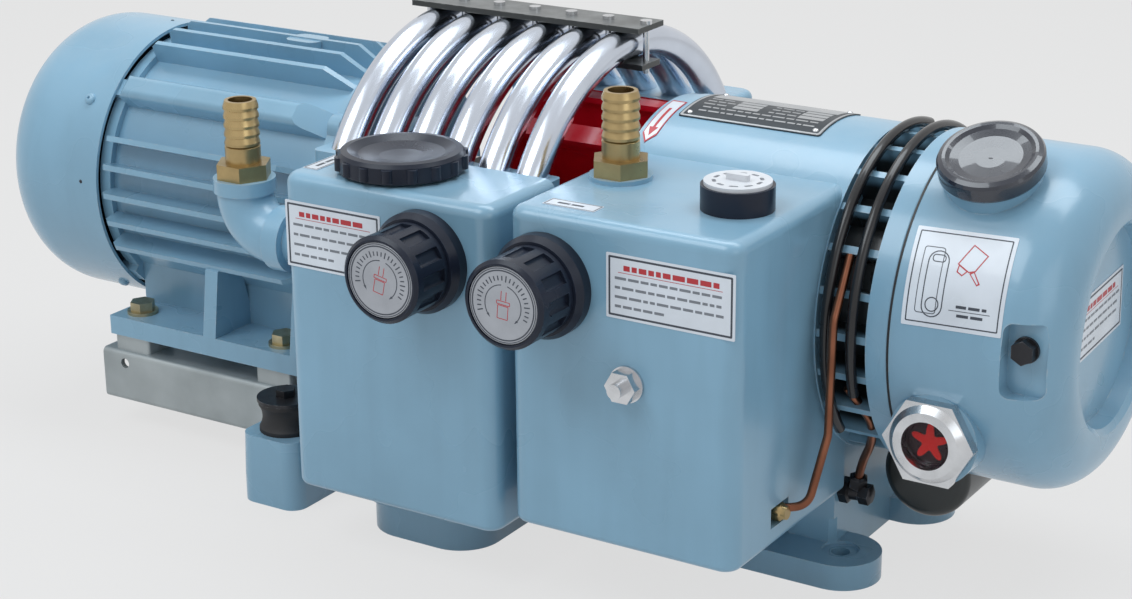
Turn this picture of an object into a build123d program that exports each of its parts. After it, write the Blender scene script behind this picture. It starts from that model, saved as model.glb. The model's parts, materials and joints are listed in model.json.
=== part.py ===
"""Oil-lubricated rotary vane pressure and vacuum pump, close-coupled to its own motor.

+X runs along the shaft towards the oil chamber, +Y to the back, +Z up, in millimetres.
The origin is the centre of the four foundation bolts, on the floor.
"""
import os
from math import cos, radians, sin

from build123d import *

os.makedirs("parts", exist_ok=True)

# ---------------------------------------------------------------- driving dimensions
SHAFT_H = 188.0          # shaft axis above the floor
BOLT_DX = 398.0          # foundation bolts, along the shaft
BOLT_DY = 124.0          # foundation bolts, across the shaft
BOLT_R = 6.5
OIL_R = 112.0            # outside of the oil chamber and of its ring
PUMP_R = OIL_R - 2.0     # outside of the pump cylinder
PUMP_LEN = 165.0
BORE_R = 84.0
ECCENTRICITY = 8.0
SHAFT_R = 16.0
WALL = 8.0               # wall of the two chambers
CHAMBER_W = 168.0
CHAMBER_GAP = 12.0
CHAMBER_FRONT = -214.0
MOTOR_H = 112.0          # frame size: shaft height over the motor feet
MOTOR_R = 114.0          # tips of the frame's fins
MOTOR_CORE_R = 97.0
MOTOR_LEN = 195.0        # ribbed frame
MOTOR_FOOT_DX = 140.0
MOTOR_FOOT_DY = 190.0
COWL_R = 110.0
COWL_LEN = 110.0
FAN_R = 102.0
TUBE_R = 11.0
TUBE_RING_R = 149.0
TUBE_PITCH = 30.6
TUBES = 6
OIL_LEN = 110.0
KNOB_R = 29.0
RUN_FIT = 0.05           # radial running clearance of a shaft in its bearing
GAP = 0.3                # clearance between pieces that move past each other

# ---------------------------------------------------------------- stations along the shaft
PUMP_X1 = BOLT_DX / 2
PUMP_X0 = PUMP_X1 - PUMP_LEN
PLATE_T = 10.0           # drive-side end plate
LANTERN_X1 = PUMP_X1 + 36.0
RING_X1 = LANTERN_X1 + 14.7
GASKET_T = 1.3
OIL_X0 = RING_X1 + GASKET_T
OIL_X1 = OIL_X0 + OIL_LEN
VC_X1 = PUMP_X1 - 1.0
VC_X0 = VC_X1 - CHAMBER_W + 3.0
PC_X1 = VC_X0 - CHAMBER_GAP
PC_X0 = PC_X1 - CHAMBER_W
MOTOR_X1 = PUMP_X0 - 245.0
MOTOR_X0 = MOTOR_X1 - MOTOR_LEN
SHIELD_T = 18.0
COWL_X1 = MOTOR_X0 - 7.0
COWL_X0 = COWL_X1 - COWL_LEN
TUBE_X_LAST = PUMP_X0 - 44.0

# ---------------------------------------------------------------- levels
BASE_T = 22.0
FOOT_Z = SHAFT_H - MOTOR_H
SPACER_T = 13.0
RAIL_H = FOOT_Z - SPACER_T - BASE_T
RAIL_W = 38.0
VC_Z0 = SHAFT_H - 129.0
VC_Z1 = SHAFT_H + 87.0
PC_Z0 = SHAFT_H - 143.0
PC_Z1 = SHAFT_H + 82.0
PC_BACK = -137.0
TUBE_C_Z = SHAFT_H - 8.0
TUBE_C_Y = 7.0
HEADER_TOP = PC_Z1 - 8.0
TUBE_TOP = TUBE_C_Z + TUBE_RING_R + TUBE_R

SHAFT = Axis((0, 0, SHAFT_H), (1, 0, 0))
SIDE = Plane(origin=(0, 0, SHAFT_H), x_dir=(1, 0, 0), z_dir=(0, -1, 0))


def across(x, y=0.0, z=SHAFT_H):
    """Plane square to the shaft at station x, its own x along +Y and y along +Z."""
    return Plane(origin=(x, y, z), x_dir=(0, 1, 0), z_dir=(1, 0, 0))


def facing(x, y, z):
    """Plane that faces the front (-Y), its own x along +X and y along +Z."""
    return Plane(origin=(x, y, z), x_dir=(1, 0, 0), z_dir=(0, -1, 0))


def save(piece, label):
    piece.part.label = label
    export_step(piece.part, f"parts/{label}.step")
    print(label, len(piece.part.solids()), round(piece.part.volume))


def turned(points, axis=SHAFT, plane=SIDE, mode=Mode.ADD):
    """Revolve a closed outline of (along, radius) points about the axis."""
    with BuildSketch(plane, mode=Mode.PRIVATE) as outline:
        with BuildLine():
            Polyline(*points, close=True)
        make_face()
    revolve(outline.sketch, axis=axis, mode=mode)


def disc(plane, radius, length, mode=Mode.ADD):
    """A plain cylinder that stands on the plane."""
    with BuildSketch(plane, mode=Mode.PRIVATE) as outline:
        Circle(radius)
    extrude(outline.sketch, amount=length, mode=mode)


def ring(plane, outer, inner, length, mode=Mode.ADD):
    """A cylinder with a round hole through it."""
    with BuildSketch(plane, mode=Mode.PRIVATE) as outline:
        Circle(outer)
        Circle(inner, mode=Mode.SUBTRACT)
    extrude(outline.sketch, amount=length, mode=mode)


def prism(plane, radius, sides, length, turn=0.0):
    """A hexagon head or nut; the radius is to its corners."""
    with BuildSketch(plane, mode=Mode.PRIVATE) as outline:
        RegularPolygon(radius, sides, rotation=turn)
    extrude(outline.sketch, amount=length)


# ================================================================ base and rails
BASE_X0 = -BOLT_DX / 2 - 26.0
BASE_X1 = PUMP_X0 + 28.0
BASE_HALF = 72.0
LUG_X = PC_X0 - 57.0
LUG_Y = 150.0
LUG_HALF = 26.0
LUG_H = 52.0
PEDESTAL_X0 = PC_X0 + 22.0
PEDESTAL_X1 = PC_X1 - 48.0
PEDESTAL_Y = 171.0
PEDESTAL_R = 30.0
PEDESTAL_Y_IN = 116.0    # inner end of the pads under the headers
SADDLE_HALF = 58.0

with BuildPart() as base:
    with BuildSketch():
        with Locations(((BASE_X0 + BASE_X1) / 2, 0)):
            RectangleRounded(BASE_X1 - BASE_X0, 2 * BASE_HALF, 12.0)
        with Locations((LUG_X, 0)):
            RectangleRounded(2 * LUG_HALF, 2 * (LUG_Y + LUG_HALF), 12.0)
        with Locations(((PEDESTAL_X0 + PEDESTAL_X1) / 2, 0)):
            RectangleRounded(PEDESTAL_X1 - PEDESTAL_X0, 2 * PEDESTAL_Y, PEDESTAL_R)
    extrude(amount=BASE_T)
    with BuildSketch(Plane.XY.offset(BASE_T)):
        with Locations((LUG_X, -LUG_Y), (LUG_X, LUG_Y)):
            RectangleRounded(2 * LUG_HALF, 2 * LUG_HALF, 12.0)
    extrude(amount=LUG_H - BASE_T, taper=2)
    with BuildSketch(Plane.XY.offset(BASE_T)):
        with Locations(((PEDESTAL_X0 + PEDESTAL_X1) / 2, -(PEDESTAL_Y + PEDESTAL_Y_IN) / 2),
                       ((PEDESTAL_X0 + PEDESTAL_X1) / 2, (PEDESTAL_Y + PEDESTAL_Y_IN) / 2)):
            RectangleRounded(PEDESTAL_X1 - PEDESTAL_X0, PEDESTAL_Y - PEDESTAL_Y_IN, 20.0)
    extrude(amount=PC_Z0 - BASE_T)
    with BuildSketch(across(PUMP_X0 + 2.0, 0, BASE_T)):
        Rectangle(2 * SADDLE_HALF, SHAFT_H - BASE_T - PUMP_R + 30.0, align=(Align.CENTER, Align.MIN))
    extrude(amount=24.0)
    disc(across(PUMP_X0), PUMP_R, 40.0, Mode.SUBTRACT)
    with BuildSketch():
        with Locations((-BOLT_DX / 4 + 8.0, 0)):
            RectangleRounded(BOLT_DX / 2 - 44.0, 2 * BASE_HALF - 24.0, 10.0)
    extrude(amount=BASE_T - 8.0, mode=Mode.SUBTRACT)
    with Locations((-BOLT_DX / 2, -BOLT_DY / 2, BASE_T), (-BOLT_DX / 2, BOLT_DY / 2, BASE_T)):
        Hole(BOLT_R, depth=BASE_T)
save(base, "base_frame")

RAIL_X0 = COWL_X1 - 2.0
RAIL_X1 = -BOLT_DX / 2 + 45.0
RAIL_WALL = 4.0
MOTOR_FOOT_X0 = MOTOR_X0 + 18.0

for side, word in ((-1, "front"), (1, "rear")):
    with BuildPart() as rail:
        with BuildSketch(across(RAIL_X0, side * MOTOR_FOOT_DY / 2, BASE_T + RAIL_H / 2)):
            RectangleRounded(RAIL_W, RAIL_H, 4.0)
            RectangleRounded(RAIL_W - 2 * RAIL_WALL, RAIL_H - 2 * RAIL_WALL, 2.0, mode=Mode.SUBTRACT)
        extrude(amount=RAIL_X1 - RAIL_X0)
        with BuildSketch(facing(RAIL_X0 + 22.0, side * MOTOR_FOOT_DY / 2 + RAIL_W, BASE_T + RAIL_H * 0.77)):
            Circle(4.0)
        extrude(amount=2 * RAIL_W, mode=Mode.SUBTRACT)
    save(rail, f"motor_rail_{word}")

FOOT_HOLES = [(MOTOR_FOOT_X0 + i * MOTOR_FOOT_DX, side * MOTOR_FOOT_DY / 2)
              for i in (0, 1) for side in (-1, 1)]
FOOT_T = 15.0

with BuildPart() as spacers:
    with BuildSketch(Plane.XY.offset(BASE_T + RAIL_H)):
        with Locations(*FOOT_HOLES):
            RectangleRounded(34.0, 30.0, 3.0)
            Circle(6.2, mode=Mode.SUBTRACT)
    extrude(amount=SPACER_T)
save(spacers, "foot_spacers")

with BuildPart() as foot_bolts:
    with BuildSketch(Plane.XY.offset(FOOT_Z + FOOT_T)):
        with Locations(*FOOT_HOLES):
            Circle(12.0)
    extrude(amount=2.5)
    with BuildSketch(Plane.XY.offset(FOOT_Z + FOOT_T + 2.5)):
        with Locations(*FOOT_HOLES):
            RegularPolygon(9.8, 6)
    extrude(amount=7.0)
    with BuildSketch(Plane.XY.offset(FOOT_Z - SPACER_T)):
        with Locations(*FOOT_HOLES):
            Circle(6.0)
    extrude(amount=SPACER_T + FOOT_T)
save(foot_bolts, "foot_bolts")

BUFFER_R = 20.0
BUFFER_H = 23.0

with BuildPart() as buffers:
    for side in (-1, 1):
        with BuildSketch(Plane(origin=(LUG_X, side * LUG_Y, LUG_H), x_dir=(1, 0, 0), z_dir=(0, -1, 0))):
            with BuildLine():
                Polyline((0, BUFFER_H), (0, 0), (BUFFER_R, 0), (BUFFER_R, 3.0))
                ThreePointArc((BUFFER_R, 3.0), (BUFFER_R - 2.5, BUFFER_H / 2), (BUFFER_R, BUFFER_H - 3.0))
                Polyline((BUFFER_R, BUFFER_H - 3.0), (BUFFER_R, BUFFER_H), (0, BUFFER_H))
            make_face()
        revolve(axis=Axis((LUG_X, side * LUG_Y, 0), (0, 0, 1)))
save(buffers, "rubber_buffers")

with BuildPart() as buffer_plates:
    for side in (-1, 1):
        disc(Plane.XY.offset(LUG_H + BUFFER_H) * Pos(LUG_X, side * LUG_Y), BUFFER_R + 1.0, 2.5)
        with BuildSketch(Plane.XY.offset(LUG_H + BUFFER_H + 2.5) * Pos(LUG_X, side * LUG_Y)):
            RegularPolygon(7.5, 6)
        extrude(amount=5.5)
save(buffer_plates, "buffer_plates")

# ================================================================ motor
FIN_T = 4.2
FIN_STEP = 11.25
WIDE_RIB_W = 20.0
WIDE_RIBS = (45.0, 135.0)
STATOR_R = MOTOR_CORE_R - 9.0
ROTOR_R = 58.0
FIN_SLOPE = 30.0
FIN_ANGLES = [i * FIN_STEP for i in range(-2, 19) if i not in (3, 4, 5, 11, 12, 13)]
LOW_FINS = [247.5, 258.75, 270.0, 281.25, 292.5]

with BuildPart() as motor:
    with BuildSketch(across(MOTOR_X0)):
        Circle(MOTOR_CORE_R)
        for angle in FIN_ANGLES + LOW_FINS:
            with Locations(Rotation(0, 0, angle) * Pos((MOTOR_R + STATOR_R) / 2, 0)):
                Rectangle(MOTOR_R - STATOR_R, FIN_T)
        for angle in WIDE_RIBS:
            with Locations(Rotation(0, 0, angle) * Pos((MOTOR_R + STATOR_R) / 2, 0)):
                RectangleRounded(MOTOR_R - STATOR_R, WIDE_RIB_W, 6.0)
    extrude(amount=MOTOR_LEN)
    turned(((MOTOR_X0, 0), (MOTOR_X0, MOTOR_R - 3.0), (MOTOR_X0 + 5.0, MOTOR_R + 1.0),
            (MOTOR_X1 - FIN_SLOPE, MOTOR_R + 1.0), (MOTOR_X1, MOTOR_CORE_R), (MOTOR_X1, 0)),
           mode=Mode.INTERSECT)
    for side in (-1, 1):
        with BuildSketch(across(MOTOR_X0, 0, 0)):
            with Locations((side * 86.5, FOOT_Z + FOOT_T / 2)):
                Rectangle(53.0, FOOT_T)
            with Locations((side * 66.0, FOOT_Z + 30.0)):
                Rectangle(10.0, 60.0)
        extrude(amount=MOTOR_LEN - 6.0)
        for x in (MOTOR_X0 + 94.0, MOTOR_X1 - 18.0):
            with BuildSketch(across(x, 0, 0)):
                with BuildLine():
                    Polyline((side * 62.0, FOOT_Z), (side * 113.0, FOOT_Z), (side * 113.0, FOOT_Z + FOOT_T),
                             (side * 106.0, FOOT_Z + 66.0), (side * 84.0, FOOT_Z + 80.0), close=True)
                make_face()
            extrude(amount=12.0)
    with BuildSketch(Plane.XY.offset(FOOT_Z)):
        with Locations(*FOOT_HOLES):
            Circle(6.2)
    extrude(amount=FOOT_T, mode=Mode.SUBTRACT)
    with BuildSketch(Plane.XY.offset(FOOT_Z + FOOT_T)):
        with Locations(*FOOT_HOLES):
            Circle(14.0)
    extrude(amount=12.0, mode=Mode.SUBTRACT)
    with BuildSketch(Plane.XY.offset(SHAFT_H + MOTOR_CORE_R - 4.0)):
        with Locations(((MOTOR_X0 + MOTOR_X1) / 2 + 20.0, 0)):
            RectangleRounded(30.0, 24.0, 8.0)
    extrude(amount=20.0)
    disc(across(MOTOR_X0), ROTOR_R + 0.6, MOTOR_LEN, Mode.SUBTRACT)
save(motor, "motor_frame")

with BuildPart() as drive_shield:
    turned(((MOTOR_X1, 20.0), (MOTOR_X1, 104.0), (MOTOR_X1 + 8.0, 104.0), (MOTOR_X1 + 11.0, 62.0),
            (MOTOR_X1 + SHIELD_T, 54.0), (MOTOR_X1 + SHIELD_T, 20.0)))
    with BuildSketch(across(MOTOR_X1)):
        with PolarLocations(98.0, 4, 45):
            Circle(11.0)
    extrude(amount=10.0)
    disc(across(MOTOR_X1 - 1.0), 14.0 + RUN_FIT, SHIELD_T + 2.0, Mode.SUBTRACT)
save(drive_shield, "drive_end_shield")

COWL_WALL = 2.5

with BuildPart() as rear_shield:
    turned(((COWL_X1 - 12.0, 30.0), (COWL_X1 - 12.0, 52.0), (MOTOR_X0 - 10.0, 60.0), (MOTOR_X0 - 10.0, 102.0),
            (MOTOR_X0, 102.0), (MOTOR_X0, 30.0)))
    with BuildSketch(across(COWL_X1 - 10.0)):
        with PolarLocations(99.0, 4, 45):
            Rectangle(2 * (COWL_R - COWL_WALL - GAP - 99.0), 14.0)
    extrude(amount=MOTOR_X0 - COWL_X1 + 10.0)
    disc(across(COWL_X1 - 13.0), 14.0 + RUN_FIT, 40.0, Mode.SUBTRACT)
save(rear_shield, "rear_end_shield")

COWL_ROUND = 45.0


def cowl_outline(wall):
    """Half section of the fan cowl, moved in by the wall."""
    r = COWL_R - wall
    x0 = COWL_X0 + wall
    c = COWL_ROUND - wall
    with BuildSketch(SIDE, mode=Mode.PRIVATE) as outline:
        with BuildLine():
            Polyline((COWL_X1, 0), (COWL_X1, r), (x0 + c, r))
            CenterArc((x0 + c, r - c), c, 90, 90)
            Polyline((x0, r - c), (x0, 0), (COWL_X1, 0))
        make_face()
    return outline.sketch


with BuildPart() as cowl:
    revolve(cowl_outline(0.0), axis=SHAFT)
    revolve(cowl_outline(COWL_WALL), axis=SHAFT, mode=Mode.SUBTRACT)
    for radius, count in ((24.0, 6), (40.0, 10), (56.0, 14)):
        with BuildSketch(across(COWL_X0 - 1.0)):
            with PolarLocations(radius, count):
                SlotOverall(13.0, 8.0)
        extrude(amount=COWL_WALL + 6.0, mode=Mode.SUBTRACT)
save(cowl, "fan_cowl")

BOX_Z = SHAFT_H + 30.0
BOX_X = (MOTOR_X0 + MOTOR_X1) / 2
BOX_Y = MOTOR_CORE_R - 4.0
GLAND_Y = MOTOR_R + 18.0
BOX_D = GLAND_Y + 17.0 - BOX_Y

with BuildPart() as terminal_box:
    with BuildSketch(Plane(origin=(BOX_X, BOX_Y, BOX_Z), x_dir=(1, 0, 0), z_dir=(0, 1, 0))):
        RectangleRounded(104.0, 84.0, 10.0)
    extrude(amount=BOX_D)
    with BuildSketch(Plane(origin=(BOX_X, BOX_Y + BOX_D, BOX_Z), x_dir=(1, 0, 0), z_dir=(0, 1, 0))):
        RectangleRounded(108.0, 88.0, 12.0)
    extrude(amount=5.0, taper=20)
    disc(across(MOTOR_X0 + 1.0), MOTOR_R + 1.0, MOTOR_LEN - 2.0, Mode.SUBTRACT)
save(terminal_box, "terminal_box")

GLAND_BORE = 7.0

with BuildPart() as gland:
    with BuildSketch(Plane(origin=(BOX_X, GLAND_Y, BOX_Z - 42.0), x_dir=(1, 0, 0), z_dir=(0, 0, -1))):
        RegularPolygon(14.0, 6)
    extrude(amount=10.0)
    with BuildSketch(Plane(origin=(BOX_X, GLAND_Y, BOX_Z - 52.0), x_dir=(1, 0, 0), z_dir=(0, 0, -1))):
        Circle(11.0)
    extrude(amount=12.0, taper=8)
    disc(Plane(origin=(BOX_X, GLAND_Y, BOX_Z - 42.0), x_dir=(1, 0, 0), z_dir=(0, 0, -1)),
         GLAND_BORE, 22.0, Mode.SUBTRACT)
save(gland, "cable_gland")

# ================================================================ turning parts
MOTOR_SHAFT_R = 14.0
MOTOR_SHAFT_X1 = MOTOR_X1 + SHIELD_T + 58.0
FAN_X0 = PUMP_X0 - 104.0
FAN_X1 = PUMP_X0 - 10.0
HUB_R = 40.0
COUPLING_X = MOTOR_SHAFT_X1

with BuildPart() as motor_shaft:
    disc(across(COWL_X0 + 22.0), MOTOR_SHAFT_R, MOTOR_SHAFT_X1 - COWL_X0 - 22.0)
    disc(across(MOTOR_X0 + 30.0), ROTOR_R, MOTOR_LEN - 60.0)
save(motor_shaft, "motor_shaft")

with BuildPart() as cooling_fan:
    ring(across(COWL_X0 + 26.0), 24.0, MOTOR_SHAFT_R, 34.0)
    ring(across(COWL_X0 + 54.0), 84.0, MOTOR_SHAFT_R, 3.0)
    with BuildSketch(across(COWL_X0 + 26.0)):
        with PolarLocations(53.0, 8):
            Rectangle(62.0, 3.0)
    extrude(amount=30.0)
save(cooling_fan, "cooling_fan")

with BuildPart() as motor_hub:
    ring(across(COUPLING_X - 34.0), HUB_R, MOTOR_SHAFT_R, 34.0)
    with BuildSketch(across(COUPLING_X)):
        with PolarLocations(29.0, 3):
            Circle(7.5)
    extrude(amount=12.0)
save(motor_hub, "motor_coupling_hub")

with BuildPart() as coupling_ring:
    with BuildSketch(across(COUPLING_X)):
        Circle(HUB_R + 1.0)
        Circle(15.0, mode=Mode.SUBTRACT)
        with PolarLocations(29.0, 3):
            Circle(7.5, mode=Mode.SUBTRACT)
        with PolarLocations(29.0, 3, 60):
            Circle(7.5, mode=Mode.SUBTRACT)
    extrude(amount=12.0)
save(coupling_ring, "coupling_ring")

BLADES = 12
BLADE_T = 4.0

with BuildPart() as coupling_fan:
    ring(across(COUPLING_X + 12.0), HUB_R, SHAFT_R, FAN_X1 - COUPLING_X - 12.0)
    ring(across(FAN_X0), FAN_R - 4.0, SHAFT_R, 5.0)
    with BuildSketch(across(FAN_X0)):
        with PolarLocations((FAN_R + HUB_R - 4.0) / 2, BLADES):
            Rectangle(FAN_R - HUB_R + 4.0, BLADE_T)
        with PolarLocations(FAN_R - 2.0, BLADES):
            Rectangle(4.0, 16.0)
    extrude(amount=FAN_X1 - FAN_X0)
    with BuildSketch(across(COUPLING_X)):
        with PolarLocations(29.0, 3, 60):
            Circle(7.5)
    extrude(amount=12.0)
save(coupling_fan, "coupling_fan")

ROTOR_OUT = BORE_R - ECCENTRICITY
ROTOR_X0 = PUMP_X0 + PLATE_T + GAP
ROTOR_X1 = PUMP_X1 - GAP
VANE_T = 6.0
VANE_L = 44.0
VANES = (60.0, 180.0, 300.0)     # from the line of closest approach, at the top
SLOT_FIT = 0.3

with BuildPart() as rotor:
    disc(across(ROTOR_X0), ROTOR_OUT - 0.4, ROTOR_X1 - ROTOR_X0)
    disc(across(COUPLING_X + 14.0), SHAFT_R, LANTERN_X1 - 6.0 - COUPLING_X - 14.0)
    with BuildSketch(across(ROTOR_X0)):
        for angle in VANES:
            with Locations(Rotation(0, 0, 90.0 + angle) * Pos(ROTOR_OUT - VANE_L / 2, 0)):
                Rectangle(VANE_L + 6.0, VANE_T + 2 * SLOT_FIT)
    extrude(amount=ROTOR_X1 - ROTOR_X0, mode=Mode.SUBTRACT)
save(rotor, "pump_rotor")

for number, angle in enumerate(VANES, 1):
    with BuildPart() as vane:
        with BuildSketch(across(ROTOR_X0)):
            with Locations(Rotation(0, 0, 90.0 + angle) * Pos(ROTOR_OUT - VANE_L / 2 - 1.0, 0)):
                Rectangle(VANE_L - 1.0, VANE_T)
        extrude(amount=ROTOR_X1 - ROTOR_X0)
    save(vane, f"vane_{number}")

# ================================================================ pump cylinder and end covers
PUMP_FOOT_T = 18.0
PUMP_FOOT_R = 28.0
FOOT_X1 = PUMP_X1 - 8.0
FOOT_W = 76.0
WEB_T = 34.0
WEB_HALF = 56.0
WEB_ROOT = SHAFT_H - PUMP_R + 16.0
KEEL_ROOT = SHAFT_H - PUMP_R + 10.0

with BuildPart() as housing:
    ring(across(PUMP_X0 + PLATE_T), PUMP_R, BORE_R + 8.0, PUMP_LEN - PLATE_T)
    disc(across(PUMP_X0 + PLATE_T, 0, SHAFT_H), PUMP_R - 1.0, PUMP_LEN - PLATE_T)
    with BuildSketch():
        with Locations((FOOT_X1 - FOOT_W / 2, 0)):
            RectangleRounded(FOOT_W, BOLT_DY + 2 * PUMP_FOOT_R, 12.0)
        for side in (-1, 1):
            with Locations(((BOLT_DX + 2 * FOOT_X1 - FOOT_W) / 4, side * BOLT_DY / 2)):
                SlotCenterToCenter((BOLT_DX - 2 * FOOT_X1 + FOOT_W) / 2, 2 * PUMP_FOOT_R)
    extrude(amount=PUMP_FOOT_T)
    with BuildSketch(across(FOOT_X1 - WEB_T, 0, 0)):
        with BuildLine():
            Polyline((-WEB_HALF - 1.0, PUMP_FOOT_T), (-WEB_HALF, WEB_ROOT), (WEB_HALF, WEB_ROOT),
                     (WEB_HALF + 1.0, PUMP_FOOT_T), close=True)
        make_face()
    extrude(amount=WEB_T)
    with BuildSketch(Plane.XZ.offset(-10.0)):
        with BuildLine():
            Polyline((FOOT_X1 - FOOT_W - 6.0, KEEL_ROOT), (FOOT_X1 - FOOT_W, 0.0), (FOOT_X1, 0.0),
                     (FOOT_X1, KEEL_ROOT), close=True)
        make_face()
    extrude(amount=20.0)
    with BuildSketch(across(PUMP_X0 + PLATE_T, 0, SHAFT_H - ECCENTRICITY)):
        Circle(BORE_R)
    extrude(amount=PUMP_LEN, mode=Mode.SUBTRACT)
    with Locations((BOLT_DX / 2, -BOLT_DY / 2, PUMP_FOOT_T), (BOLT_DX / 2, BOLT_DY / 2, PUMP_FOOT_T)):
        CounterBoreHole(BOLT_R, 13.0, 2.0, depth=PUMP_FOOT_T)
save(housing, "pump_housing")

with BuildPart() as drive_plate:
    ring(across(PUMP_X0), PUMP_R - 1.0, SHAFT_R + RUN_FIT, PLATE_T)
    ring(across(PUMP_X0 - 8.0), 34.0, SHAFT_R + RUN_FIT, 8.0)
save(drive_plate, "drive_end_plate")

LANTERN_RIBS = 24
RIB_DEEP = 24.0
RIB_TIP = OIL_R - 4.0

with BuildPart() as lantern:
    ring(across(PUMP_X1), BORE_R + 2.0, SHAFT_R + RUN_FIT, LANTERN_X1 - PUMP_X1)
    with BuildSketch(across(PUMP_X1)):
        with PolarLocations(RIB_TIP - RIB_DEEP / 2, LANTERN_RIBS):
            Rectangle(RIB_DEEP, 5.0)
    extrude(amount=LANTERN_X1 - PUMP_X1)
    ring(across(LANTERN_X1), OIL_R, SHAFT_R + 4.0, RING_X1 - LANTERN_X1)
    fillet(lantern.edges().filter_by(GeomType.CIRCLE).sort_by(Axis.X)[-2:].sort_by(SortBy.RADIUS)[-1:], 1.0)
save(lantern, "lantern_cover")

with BuildPart() as gasket:
    ring(across(RING_X1), OIL_R + 0.4, OIL_R - 22.0, GASKET_T)
save(gasket, "oil_chamber_gasket")

# ================================================================ oil chamber
OIL_ROUND = 36.0
RECESS_R = OIL_R - OIL_ROUND - 9.0
RECESS_D = 14.0
OIL_WALL = 7.0
CAVITY_X1 = OIL_X1 - OIL_ROUND - 20.0
CAP_TILT = 25.0
CAP_X = OIL_X0 + 38.0
CAP_R = 34.0
SIGHT_X = OIL_X0 + 31.0
SIGHT_Z = SHAFT_H - OIL_R / 2
SIGHT_Y = 3.0 - OIL_R
SIGHT_ROOT = SIGHT_Y + 49.0
SIGHT_BOSS_R = 30.0
SIGHT_NUT_R = 31.0
SIGHT_LENS_R = 16.0
PLUG_X = OIL_X1 - 24.0
PLUG_Z = SHAFT_H + 12.0
PLUG_Y = 13.0 - OIL_R
POCKET_W = 26.0
POCKET_H = 48.0
CAP_DIR = Vector(0, -sin(radians(CAP_TILT)), cos(radians(CAP_TILT)))
CAP_SEAT = Vector(CAP_X, 0, SHAFT_H) + CAP_DIR * (OIL_R + 6.0)
CAP_PLANE = Plane(origin=CAP_SEAT, x_dir=(1, 0, 0), z_dir=CAP_DIR)

with BuildPart() as oil_chamber:
    with BuildSketch(SIDE):
        with BuildLine():
            Polyline((OIL_X0, 0), (OIL_X0, OIL_R), (OIL_X1 - OIL_ROUND, OIL_R))
            CenterArc((OIL_X1 - OIL_ROUND, OIL_R - OIL_ROUND), OIL_ROUND, 0, 90)
            Polyline((OIL_X1, OIL_R - OIL_ROUND), (OIL_X1, RECESS_R + 4.0), (OIL_X1 - 3.0, RECESS_R),
                     (OIL_X1 - RECESS_D, RECESS_R - 2.0), (OIL_X1 - RECESS_D, 0), (OIL_X0, 0))
        make_face()
    revolve(axis=SHAFT)
    disc(facing(SIGHT_X, SIGHT_ROOT, SIGHT_Z), SIGHT_BOSS_R, SIGHT_ROOT - SIGHT_Y)
    disc(CAP_PLANE.offset(-20.0), CAP_R - 3.0, 20.0)
    with BuildSketch(SIDE):
        with BuildLine():
            Polyline((OIL_X0 - 1.0, 0), (OIL_X0 - 1.0, OIL_R - OIL_WALL), (CAVITY_X1, OIL_R - OIL_WALL))
            Polyline((CAVITY_X1, OIL_R - OIL_WALL), (OIL_X1 - RECESS_D - OIL_WALL, RECESS_R - 4.0),
                     (OIL_X1 - RECESS_D - OIL_WALL, 0), (OIL_X0 - 1.0, 0))
        make_face()
    revolve(axis=SHAFT, mode=Mode.SUBTRACT)
    with BuildSketch(facing(PLUG_X + 1.0, PLUG_Y, PLUG_Z - 6.0)):
        RectangleRounded(POCKET_W, POCKET_H, 6.0)
    extrude(amount=30.0, mode=Mode.SUBTRACT)
    disc(facing(SIGHT_X, SIGHT_ROOT, SIGHT_Z), SIGHT_LENS_R, SIGHT_ROOT - SIGHT_Y + 11.0, Mode.SUBTRACT)
    disc(CAP_PLANE.offset(-30.0), 22.0, 34.0, Mode.SUBTRACT)
save(oil_chamber, "oil_chamber")

CAP_PROFILE = Plane(origin=CAP_SEAT, x_dir=(1, 0, 0), z_dir=Vector(1, 0, 0).cross(CAP_DIR))
CAP_AXIS = Axis(CAP_SEAT, CAP_DIR)

with BuildPart() as oil_cap:
    turned(((0, -12.0), (21.5, -12.0), (21.5, 0.3), (CAP_R - 1.0, 0.3), (CAP_R, 2.0), (CAP_R, 10.5),
            (CAP_R - 1.2, 12.6), (CAP_R - 4.0, 14.0), (CAP_R - 6.0, 13.6), (CAP_R - 8.5, 11.8),
            (CAP_R - 14.0, 10.4), (CAP_R - 24.0, 9.6), (0, 9.4)),
           axis=CAP_AXIS, plane=CAP_PROFILE)
save(oil_cap, "oil_filler_cap")

NUT_T = 8.0
NUT_RIM = 4.0

with BuildPart() as sight_nut:
    prism(facing(SIGHT_X, SIGHT_Y, SIGHT_Z), SIGHT_NUT_R, 6, NUT_T)
    with BuildSketch(facing(SIGHT_X, SIGHT_Y - NUT_T, SIGHT_Z)):
        Circle(SIGHT_NUT_R * cos(radians(30)) - 1.0)
    extrude(amount=NUT_RIM, taper=45)
    disc(facing(SIGHT_X, SIGHT_Y, SIGHT_Z), SIGHT_LENS_R, NUT_T + NUT_RIM, Mode.SUBTRACT)
save(sight_nut, "sight_glass_nut")

with BuildPart() as lens:
    disc(facing(SIGHT_X, SIGHT_Y + 2.0, SIGHT_Z), SIGHT_LENS_R, 9.0)
save(lens, "sight_glass")

with BuildPart() as plug:
    disc(facing(PLUG_X, PLUG_Y, PLUG_Z), 8.5, 2.0)
    prism(facing(PLUG_X, PLUG_Y - 2.0, PLUG_Z), 8.0, 6, 7.0, 30.0)
save(plug, "oil_plug")

RETURN_R = 31.0
RETURN_X = OIL_X0 - 9.0
RETURN_Z = SHAFT_H - OIL_R - 8.0

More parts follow.
